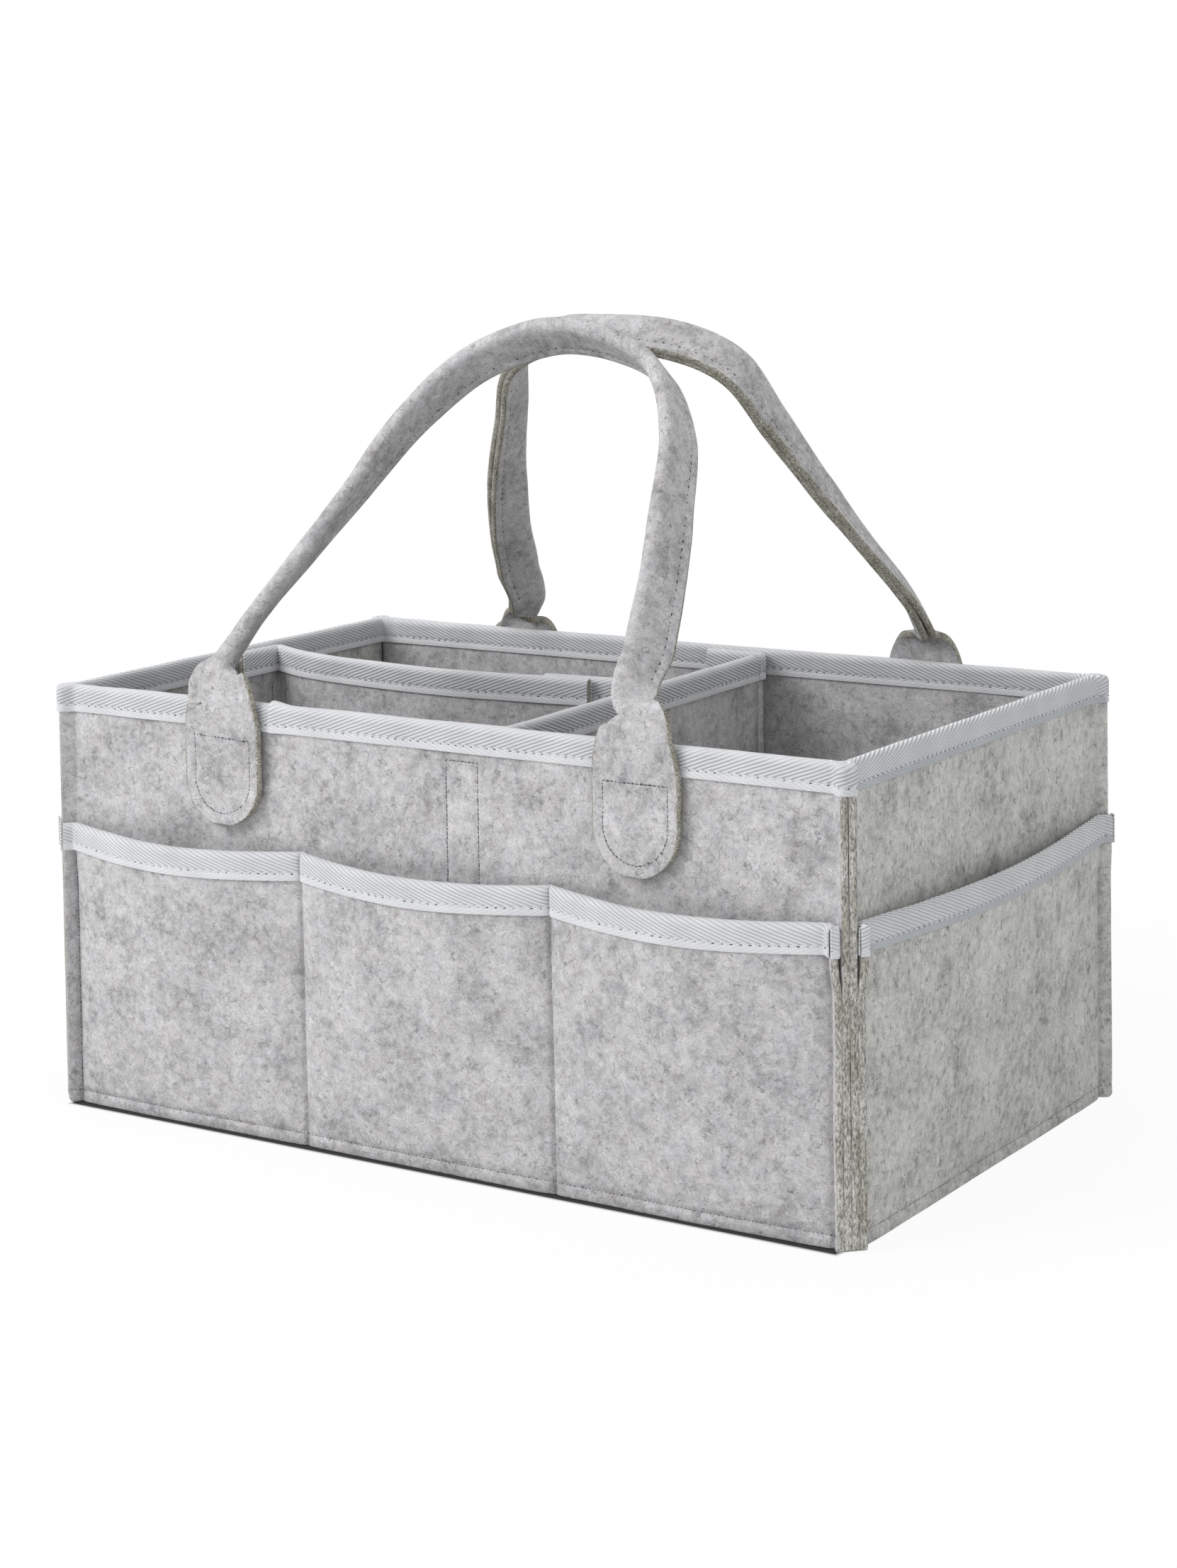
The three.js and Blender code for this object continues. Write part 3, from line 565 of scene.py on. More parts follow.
def finRoot(side, depth):
    across = box["finGap"] * math.sqrt(0.5) + depth * (math.sqrt(2) - 1)
    return np.array([side["span"] - felt - across, side["out"] - felt + depth])


def finTip(side, depth, reach=None):
    reach = box["finReach"] if reach is None else reach
    half = box["finGap"] / 2
    return np.array([side["span"] + (reach - half - depth) * math.sqrt(0.5),
                     side["out"] + (reach + half + depth) * math.sqrt(0.5)])


# A line through corners, each rounded to its radius.
def filleted(points, radii, arc=6):
    points = [np.array(p, float) for p in points]
    out = [points[0]]
    for before, corner, after, radius in zip(points, points[1:], points[2:], radii):
        a, b = before - corner, after - corner
        a, b = a / np.linalg.norm(a), b / np.linalg.norm(b)
        half = math.acos(np.clip(np.dot(a, b), -1, 1)) / 2
        reach = radius / math.tan(half)
        centre = corner + (a + b) / np.linalg.norm(a + b) * radius / math.sin(half)
        first, last = corner + a * reach - centre, corner + b * reach - centre
        angle = math.atan2(first[0] * last[1] - first[1] * last[0], np.dot(first, last))
        out += [centre + turned(angle * i / arc, first[0], first[1]) for i in range(arc + 1)]
    out.append(points[-1])
    return np.array(out)


def walkedLength(line):
    return np.concatenate([[0], np.cumsum(np.linalg.norm(np.diff(line, axis=0), axis=1))])


def sample(line, places):
    walked = walkedLength(line)
    return np.stack([np.interp(places, walked, line[:, k]) for k in range(line.shape[1])], -1)


def directionAt(line, places, reach):
    ahead = sample(line, np.minimum(places + reach, walkedLength(line)[-1]))
    ahead -= sample(line, np.maximum(places - reach, 0))
    return ahead / np.linalg.norm(ahead, axis=1, keepdims=True)


# One layer of a side in plan, from fin tip to fin tip, with the same count of points at any depth.
def layer(side, depth, straight):
    root, tip = finRoot(side, depth), finTip(side, depth)
    corner = filleted([(side["span"] - bendEnd, root[1]), root, tip], [fin["rootRadius"]])
    length = walkedLength(corner)[-1]
    places = np.concatenate([np.linspace(0, length - fin["plainTo"], fin["steps"])[1:],
                             length - felt / 2 * np.array(fin["tipShares"])])
    arm = sample(corner, places)
    middle = np.stack([straight, np.full(len(straight), root[1])], -1)
    return np.concatenate([arm[::-1] * [-1, 1], middle, arm])


def straightPart(side, step, marks=()):
    reach = side["span"] - bendEnd
    return spread(2 * reach, step, trim=0, marks=[m + reach for m in marks]) - reach


# Stands a plan up at the given heights, or a plan for each of them, and turns it to its side.
def raisedSide(side, plan, heights):
    if plan.ndim == 2:
        plan = np.repeat(plan[:, None], len(heights), 1)
        heights = np.broadcast_to(heights, plan.shape[:2])
    flat = turned(side["turn"], plan[..., 0], plan[..., 1])
    return leanIn(np.concatenate([flat, np.array(heights)[..., None]], -1))


# Stands a line in plan up at the given heights, where it is.
def upright(plan, heights):
    return np.stack([np.insert(plan, 2, z, axis=1) for z in heights], 1)


foot = {"round": 2.4, "height": 10.0, "turned": 0.98}


# Rounds the lower corners of a side's fins.
def roundedFoot(grid, along):
    turn = np.clip((np.abs(along) - along[-1]) / foot["round"] + 1, 0, 1)
    lift = foot["round"] * (1 - np.sqrt(1 - foot["turned"] * turn ** 2))
    grid = np.array(grid)
    grid[..., 2] += lift[:, None] * np.clip(1 - grid[..., 2] / foot["height"], 0, 1)
    return grid


def centredLength(line):
    return walkedLength(line) - walkedLength(line)[-1] / 2


# Walls

wall = {"top": 178.3, "step": 6.0, "stripLow": 46.5, "stripHigh": 166.5, "stripWidth": 17.0,
        "seamSide": 7.5, "seamLow": 47.5, "seamHigh": 165.0, "groove": (0.45, 1.0),
        "waves": ((0.35, 60, 1), (0.12, 14, 2))}
stripMiddle = {"back": 12.4, "front": -17.4, "left": 6.1}   # of the loop strip sewn inside a wall


def makeWall(name):
    side, marks, paths = sides[name], [], []
    low, high = wall["seamLow"], wall["seamHigh"]
    if name in stripMiddle:
        marks = [stripMiddle[name] + s * wall["seamSide"] for s in (-1, 1)]
        paths = [[(marks[0], low), (marks[0], high), (marks[1], high), (marks[1], low)]]
    plan = layer(side, felt / 2, straightPart(side, wall["step"], marks))
    along = centredLength(plan)
    heights = spread(wall["top"], wall["step"], marks=[high] if marks else [])
    grid = roundedFoot(raisedSide(side, plan, heights), along)
    made = makeCloth(f"{name}Wall", grid, along, heights, felt,
                     dent=sewnGroove(along, heights, paths, *wall["groove"]), side=-1,
                     waves=wall["waves"], faces=(side["felt"], "finEdge"), square=10.0)
    settle(made, "caddy", "felt", f"{name}_wall")
    return [(made, path, 1) for path in paths]


runs = [run for name in sides for run in makeWall(name)]
settle(makeStitches("loopStripStitches", runs), "caddy", "felt")
print("stage: walls")


# Outer pockets

pocket = {
    "height": 122.0, "dip": 2.0, "top": 120.6, "step": 5.0, "press": ((0.9, 2.6), (1.1, 0.7)),
    "tuckLow": 94.0, "tuckHigh": 108.0, "tuckFrom": 14, "tuckTo": 2,   # beside the fins
    "seamIn": 5.6, "seamLow": 7, "seamHigh": 109, "bottomIn": 1, "groove": (0.8, 1.2),
    "waves": ((0.5, 45, 3), (0.16, 12, 4)), "tapeWaves": ((0.3, 22, 5),), "tapeSewnIn": 3,
}
tapeEnd = {"inner": 0.4, "outer": 0.6, "over": 0.6, "drop": 0.4, "step": 0.8, "rise": 1.2}


def seamPlaces(side):
    span = finRoot(side, 2 * felt + tape["stack"])[0]
    return span, [span * (2 * k / side["bays"] - 1) for k in range(1, side["bays"])]


# A mouth sags and bows out between its seams. The cloth below it follows, down to the bottom seam.
def pocketPlan(side, depth, straight, z, follow):
    plan = layer(side, depth, straight)
    span = seamPlaces(side)[0]
    u = plan[:, 0]
    phase = np.abs(np.sin(math.pi * side["bays"] * (u + span) / (2 * span))) * (np.abs(u) < span)
    height = z - pocket["dip"] * phase * follow
    rising = np.sin(math.pi / 2 * np.minimum(height / pocket["height"], 1))
    plan[:, 1] += side["bow"] * phase * rising
    return plan, height


# How far sewing presses a pocket in, at distances from its seam.
def pressed(distance):
    return sum(depth * np.exp(-(distance / width) ** 2) for depth, width in pocket["press"])


def smooth(x, low, high):
    t = np.clip((x - low) / (high - low), 0, 1)
    return t * t * (3 - 2 * t)


def makePocket(name):
    side = sides[name]
    span, seams = seamPlaces(side)
    straight = straightPart(side, pocket["step"], seams)
    heights = spread(pocket["top"], pocket["step"], marks=[box["seam"]])
    clear = pocket["height"] - 2 * tape["reach"]
    layers = []
    for z in heights:
        stand = gap + (tape["stack"] - gap) * min(z / clear, 1)
        plan, height = pocketPlan(side, 1.5 * felt + stand, straight, z, z / pocket["top"])
        tucked = pocketPlan(side, 1.5 * felt + box["finGap"], straight, z, z / pocket["top"])[0]
        share = smooth(np.abs(plan[:, 0]), span - pocket["tuckFrom"], span - pocket["tuckTo"])
        share = share * (1 - smooth(z, pocket["tuckLow"], pocket["tuckHigh"]))
        layers.append((plan + (tucked - plan) * share[:, None], height))
    grid = raisedSide(side, *(np.stack(each, 1) for each in zip(*layers)))
    along = centredLength(layer(side, 1.5 * felt + 1, straight))
    grid = roundedFoot(grid, along)
    tip = along[-1]
    seams = [pocket["seamIn"] - tip] + seams + [tip - pocket["seamIn"]]
    nearest = np.min(np.abs(along[:, None] - np.array(seams)), axis=1)
    grooves = np.repeat(pressed(nearest)[:, None], len(heights), 1)
    end = tip - pocket["bottomIn"]
    bottom = [(-end, box["seam"]), (end, box["seam"])]
    grooves = np.maximum(grooves, sewnGroove(along, heights, [bottom], *pocket["groove"]))
    made = makeCloth(f"{name}PocketPanel", grid, along, heights, felt, dent=grooves, side=-1,
                     waves=pocket["waves"], faces=(side["felt"], "finEdge"), square=10.0)
    settle(made, "caddy", "felt", f"{name}_pocket_panel")
    upSeams = [[(u, pocket["seamLow"]), (u, pocket["seamHigh"])] for u in seams]
    return [(made, path, 1) for path in upSeams + [bottom]]


# Places up the flat face of a tape, close together at its cut edge and at its stitches.
def tapeLevels(top):
    levels = spread(top, tape["step"], tape["trim"], [tape["stitchUp"]], tape["near"])
    return np.append(levels[levels < top - 0.5], top)


# Tape folded over an edge: up its outside, over and down the inside. Across is 0 on the fold.
def foldedProfile(outer, inner, low, high, arc=7):
    radius, middle = (outer - inner) / 2, (outer + inner) / 2
    up = [(outer, low + s) for s in tapeLevels(high - radius - low)]
    crown = [(middle + radius * math.cos(t), high - radius + radius * math.sin(t))
             for t in np.linspace(0, math.pi, arc + 2)[1:-1]]
    line = np.array(up + crown + [(inner, z) for _, z in reversed(up)])
    walked = walkedLength(line)
    return line, walked[-1] / 2 - walked


def makePocketBinding(name):
    side = sides[name]
    seams = seamPlaces(side)[1]
    straight = straightPart(side, pocket["step"], seams)
    outer = 2 * felt + tape["stack"] + gap + tape["thickness"] / 2
    inner = felt + tape["stack"] - gap - tape["thickness"] / 2
    line, across = foldedProfile(outer, inner, pocket["height"] - tape["reach"],
                                 pocket["height"] - tape["thickness"] / 2)
    along = centredLength(layer(side, outer, straight))
    seams = seams or [1e3]   # none is near on a side with one pocket
    nearest = np.min(np.abs(along[:, None] - np.array(seams)), axis=1)
    layers = []
    for depth, z in line:
        plan, height = pocketPlan(side, depth, straight, z, 1.0)
        plan[:, 1] -= pressed(nearest) * (depth - inner) / (outer - inner)
        layers.append((plan, height))
    grid = raisedSide(side, *(np.stack(each, 1) for each in zip(*layers)))
    grid, across = grid[:, ::-1], across[::-1]
    sewn = across[-1] - tape["stitchUp"]
    tip = along[-1]
    groove = sewnGroove(along, across, [[(-tip, sewn), (tip, sewn)]], *tape["groove"])
    faces = (side["tape"], side["tape"])
    made = makeCloth(f"{name}PocketBinding", grid, along, across, tape["thickness"], dent=groove,
                     waves=pocket["tapeWaves"], faces=faces)
    settle(made, "caddy", "tape", f"{name}_pocket_binding")
    # The tape's ends are folded over the felt's cut ends.
    for end, sign in (("Left", 1), ("Right", -1)):
        if side["turn"] < 0 or name == "back":
            end = {"Left": "Right", "Right": "Left"}[end]
        ends = [finTip(side, depth, box["finReach"] + tape["thickness"]) * [sign, 1]
                for depth in (inner + tapeEnd["inner"], outer - tapeEnd["outer"])]
        places = spread(np.linalg.norm(ends[1] - ends[0]), tapeEnd["step"], tape["trim"])
        levels = spread(tape["reach"] + tapeEnd["over"], tapeEnd["rise"], tape["trim"])
        grid = raisedSide(side, sample(np.array(ends), places),
                          levels + pocket["height"] - tape["reach"] - tapeEnd["drop"])
        cap = makeCloth(f"{name}PocketTape{end}End", grid, places, levels - tape["reach"],
                        tape["thickness"], faces=faces, square=2.0)
        settle(cap, "caddy", "tape")
    end = tip - pocket["tapeSewnIn"]
    return [(made, [(-end, sewn), (end, sewn)], 1)]


runs = [run for name in sides for run in makePocket(name)]
settle(makeStitches("seamStitches", runs, sunk=0.25), "caddy", "felt")
runs = [run for name in sides for run in makePocketBinding(name)]
settle(makeStitches("pocketTapeStitches", runs, "paleThread"), "caddy", "tape")
print("stage: pockets")


# Rim binding

rim = {
    "crown": 179.6, "low": 168.5, "round": 2.2, "step": 5.0, "cornerSteps": 44, "foldSteps": 9,
    "outerRadii": (3.0, 2.4, 2.4, 3.0), "innerRadii": (2.0,), "cornerFlat": 1.4,
    "joinX": -76.5, "joinLap": 9.0, "joinRise": 1.2, "joinEnd": 0.8, "joinMarks": (-3, 0, 0.8),
    "groove": (0.35, 0.7), "waves": ((0.35, 34, 6), (0.12, 9, 7)), "sewnFrom": 0.5, "sewnTo": 3,
}


# The tape's outer and inner lines in plan, round all four corners, and how far each is into one.
def rimLines():
    outerLine, innerLine, corner = [], [], []
    names = list(sides)
    offset = gap + tape["thickness"] / 2
    depth, tipReach = felt + offset, box["finReach"] + offset
    for name, after in zip(names, names[1:] + names[:1]):
        side, after = sides[name], sides[after]
        reach, nextReach = side["span"] - bendEnd, after["span"] - bendEnd
        join = [reach - rim["joinX"] + s for s in rim["joinMarks"]] if name == "front" else []
        for u in spread(2 * reach, rim["step"], trim=0, marks=join, near=(0, 0.4))[:-1] - reach:
            outerLine.append(turned(side["turn"], u, side["out"] + offset))
            innerLine.append(turned(side["turn"], u, side["out"] - felt - offset))
            corner.append(0.0)
        outerCorner = filleted([
            turned(side["turn"], reach, side["out"] + offset),
            turned(side["turn"], *finRoot(side, depth)),
            turned(side["turn"], *finTip(side, depth, tipReach)),
            turned(after["turn"], *(finTip(after, depth, tipReach) * [-1, 1])),
            turned(after["turn"], *(finRoot(after, depth) * [-1, 1])),
            turned(after["turn"], -nextReach, after["out"] + offset),
        ], rim["outerRadii"])
        innerCorner = filleted([
            turned(side["turn"], reach, side["out"] - depth),
            turned(side["turn"], side["span"] - depth, side["out"] - depth),
            turned(after["turn"], -nextReach, after["out"] - depth),
        ], rim["innerRadii"])
        share = np.linspace(0, 1, rim["cornerSteps"], endpoint=False)
        outerLine += list(sample(outerCorner, share * walkedLength(outerCorner)[-1]))
        innerLine += list(sample(innerCorner, share * walkedLength(innerCorner)[-1]))
        corner += list(np.sin(share * math.pi) ** 2)
    return [np.array(line + line[:1]) for line in (outerLine, innerLine, corner)]


def makeRim():
    outerLine, innerLine, corner = rimLines()
    top = rim["crown"] - rim["round"] - rim["low"]
    straight = tapeLevels(top)
    angles = np.linspace(0, math.pi, rim["foldSteps"])[1:-1]
    rows = []
    for a, b, share in zip(outerLine, innerLine, corner):
        power = 2 / (2 + rim["cornerFlat"] * share)   # the fold is flatter over the corner seams
        middle, half = (a + b) / 2, (a - b) / 2
        row = [(*a, rim["low"] + s) for s in straight]
        for t in angles:
            c = math.copysign(abs(math.cos(t)) ** power, math.cos(t))
            z = rim["low"] + top + rim["round"] * math.sin(t) ** power
            row.append((*(middle + half * c), z))
        rows.append(row + [(*b, rim["low"] + s) for s in straight[::-1]])
    grid = leanIn(np.array(rows))[:, ::-1]
    profile = walkedLength(np.array(
        [(rim["round"], s) for s in straight]
        + [(rim["round"] * math.cos(t), top + rim["round"] * math.sin(t)) for t in angles]
        + [(-rim["round"], s) for s in straight[::-1]]))
    along, across = walkedLength(outerLine), profile - profile[-1] / 2
    end, sewn = along[-1], across[-1] - tape["stitchUp"]
    groove = sewnGroove(along, across, [[(0, v), (end, v)] for v in (sewn, -sewn)], *rim["groove"])
    # The tape's end laps over its start beside the front left tab.
    join = along[np.argmin(np.hypot(outerLine[:, 0] - rim["joinX"], outerLine[:, 1] + halfWidth))]
    lap = smooth(along, join - rim["joinLap"], join)
    lap = lap * (1 - smooth(along, join, join + rim["joinEnd"]))
    grid = grid + gridNormals(grid, along, across, True) * (rim["joinRise"] * lap)[:, None, None]
    made = makeCloth("rimBinding", grid, along, across, tape["thickness"], trims=(False, True),
                     closed=True, dent=groove, waves=rim["waves"], faces=("rimTape", "shadedEndRimTape"))
    # Faces on the two ends take the darker, shaded copy of the tape: painted shade.
    for face in made["object"].data.polygons:
        x, y, _ = face.center * 1000
        face.material_index = int(abs(x) > halfLength - bendEnd and abs(y) < halfWidth - felt)
    settle(made, "caddy", "tape", "rim_binding")
    runs = [(made, [(rim["sewnFrom"], v), (end - rim["sewnTo"], v)], 1) for v in (sewn, -sewn)]
    settle(makeStitches("rimTapeStitches", runs, "paleThread"), "caddy", "tape")


makeRim()
print("stage: rim")


# Base: the bottom sheet, and its seam allowance turned down inside the walls

base = {"step": 8.0, "waves": ((0.25, 50, 8), (0.1, 12, 9)), "edgeRadius": 3, "edgeSteps": 160,
        "edgeOver": 1.0, "edgeRise": 3.0, "edgeOpen": 0.5, "edgeWaves": ((0.15, 30, 10),)}


def makeBase():
    x, y = halfLength - felt - gap, halfWidth - felt - gap
    xs, ys = spread(2 * x, base["step"]), spread(2 * y, base["step"])
    grid = np.zeros((len(xs), len(ys), 3))
    grid[..., 0] = (xs - x)[:, None]
    grid[..., 1] = (ys - y)[None]
    grid[..., 2] = box["seam"] + felt / 2
    sheet = makeCloth("baseSheet", grid, xs, ys, felt, waves=base["waves"])
    settle(sheet, "caddy", "felt", "base_panel")
    x, y = x - felt / 2, y - felt / 2
    ring = [(0, -y), (x, -y), (x, y), (-x, y), (-x, -y), (-base["edgeOpen"], -y)]
    ring = filleted(ring, [base["edgeRadius"]] * 4)
    places = np.linspace(0, walkedLength(ring)[-1], base["edgeSteps"])
    heights = spread(box["seam"] + base["edgeOver"], base["edgeRise"])
    grid = upright(sample(ring, places), heights)
    edge = makeCloth("baseSeamAllowance", grid, places, heights, felt, waves=base["edgeWaves"])
    settle(edge, "caddy", "felt")


makeBase()
print("stage: base")


# Handles: one felt strip each, flat on the wall at both ends and folded lengthwise between

handle = {
    "tabX": {"front": 100.0, "back": 105.0}, "width": 38.0, "tabBottom": 129.0, "root": 188.0,
    "reach": 170.0, "depth": 19.5, "thickness": 6.5, "foldRadius": 1.7, "foldTurn": 91.5,
    "slack": {"front": 9.0, "back": 1.5}, "slackFrom": 5, "slackTo": 60, "rootTwist": 42,
    "crestTwist": -6, "shoulder": -25.0, "shoulderReach": 34.0, "shoulderPower": 2.2,
    "gathered": 14.5, "open": 26.0, "closeBy": 10, "crestShare": 0.49, "narrowest": 0.6,
    "rootStraight": 8, "step": 3.0, "fineFrom": -10, "fineTo": 16, "acrossStep": 2.0,
    "seamInset": 4.5, "tabInset": 5.0, "tabCross": -23, "foldFrom": -20, "tabSunk": 0.2,
    "foldSunk": 0.35, "tabGroove": (0.55, 1.0), "foldGroove": (0.3, 1.0),
    "waves": ((0.45, 30, 11), (0.14, 9, 12)),
}
# The strap from the side. It leans in between two heights above its root, and bulges out then in
# at a middle and over a width.
strapSide = {"from": -62, "to": 190, "step": 0.5, "leanFrom": -7, "leanTo": 9, "bulge": 0.1,
             "bulges": ((-4, 6), (-16, 7))}
# Legs from the root to the crest, with where each is gathered and half its width there. Drift moves
# the fold from its tab's middle. Their lines are given as shares of the root's X and of the reach.
legs = {
    "frontLeft": {"drift": 0.0, "gather": (1, 13), "neck": 12.0, "line": [
        (1.03, 0), (0.98, 0.14), (0.85, 0.33), (0.72, 0.53), (0.59, 0.74), (0.4, 0.9),
        (0.16, 0.98)]},
    "frontRight": {"drift": 1.0, "gather": (1, 13), "neck": 12.0, "line": [
        (1, 0), (0.88, 0.14), (0.83, 0.33), (0.77, 0.53), (0.69, 0.74), (0.52, 0.9), (0.24, 0.98)]},
    "backLeft": {"drift": 1.0, "gather": (-10, 9), "neck": 12.0, "line": [
        (1, 0), (0.85, 0.14), (0.77, 0.33), (0.66, 0.53), (0.51, 0.74), (0.39, 0.9), (0.19, 0.98)]},
    "backRight": {"drift": 0.0, "gather": (1, 13), "neck": 8.0, "line": [
        (1, 0), (0.99, 0.14), (0.89, 0.33), (0.79, 0.53), (0.7, 0.74), (0.62, 0.9), (0.41, 0.98)]},
}
rise = handle["root"] / box["height"]
rootY = (halfWidth + tape["stack"] + felt) * (1 - box["sideLean"] / halfWidth * rise)
crestOut = handle["reach"] + handle["crestShare"] * handle["thickness"] / 2
crestIn = handle["depth"] - felt / 2
strapLean = math.asin((rootY - gap / 2) / math.hypot(crestOut, crestIn))
strapLean -= math.atan2(crestIn, crestOut)


# Centripetal Catmull-Rom curve through points.
def curveThrough(points, per=24):
    points = np.array(points, float)
    points = np.concatenate([[2 * points[0] - points[1]], points, [2 * points[-1] - points[-2]]])
    out = []
    for p0, p1, p2, p3 in zip(points, points[1:], points[2:], points[3:]):
        t1 = np.linalg.norm(p1 - p0) ** 0.5
        t2 = t1 + np.linalg.norm(p2 - p1) ** 0.5
        t3 = t2 + np.linalg.norm(p3 - p2) ** 0.5
        for t in np.linspace(t1, t2, per, endpoint=False):
            a1 = (t1 - t) / t1 * p0 + t / t1 * p1
            a2 = (t2 - t) / (t2 - t1) * p1 + (t - t1) / (t2 - t1) * p2
            a3 = (t3 - t) / (t3 - t2) * p2 + (t - t2) / (t3 - t2) * p3
            b1 = (t2 - t) / t2 * a1 + t / t2 * a2
            b2 = (t3 - t) / (t3 - t1) * a2 + (t - t1) / (t3 - t1) * a3
            out.append((t2 - t) / (t2 - t1) * b1 + (t - t1) / (t2 - t1) * b2)
    return np.array(out + [points[-2]])


# The strip from the side: up the wall, over the rim and inwards. S is the height above its root.
def stripProfile():
    steps = np.arange(strapSide["from"], strapSide["to"], strapSide["step"])
    wallTilt = box["sideLean"] / box["height"]
    outer, z = halfWidth + tape["stack"] + felt / 2, handle["root"] + strapSide["from"]
    place = np.array([outer * (1 - box["sideLean"] / halfWidth * (z / box["height"])), z])
    places, normals = [], []
    for s in steps:
        over = float(smooth(s, strapSide["leanFrom"], strapSide["leanTo"]))
        tilt = wallTilt + (strapLean - wallTilt) * over
        out, back = (math.exp(-((s - at) / width) ** 2) for at, width in strapSide["bulges"])
        tilt += strapSide["bulge"] * (out - back)
        places.append(place)
        normals.append((-math.cos(tilt), -math.sin(tilt)))
        place = place + strapSide["step"] * np.array([-math.sin(tilt), math.cos(tilt)])
    return steps, np.array(places), np.array(normals)


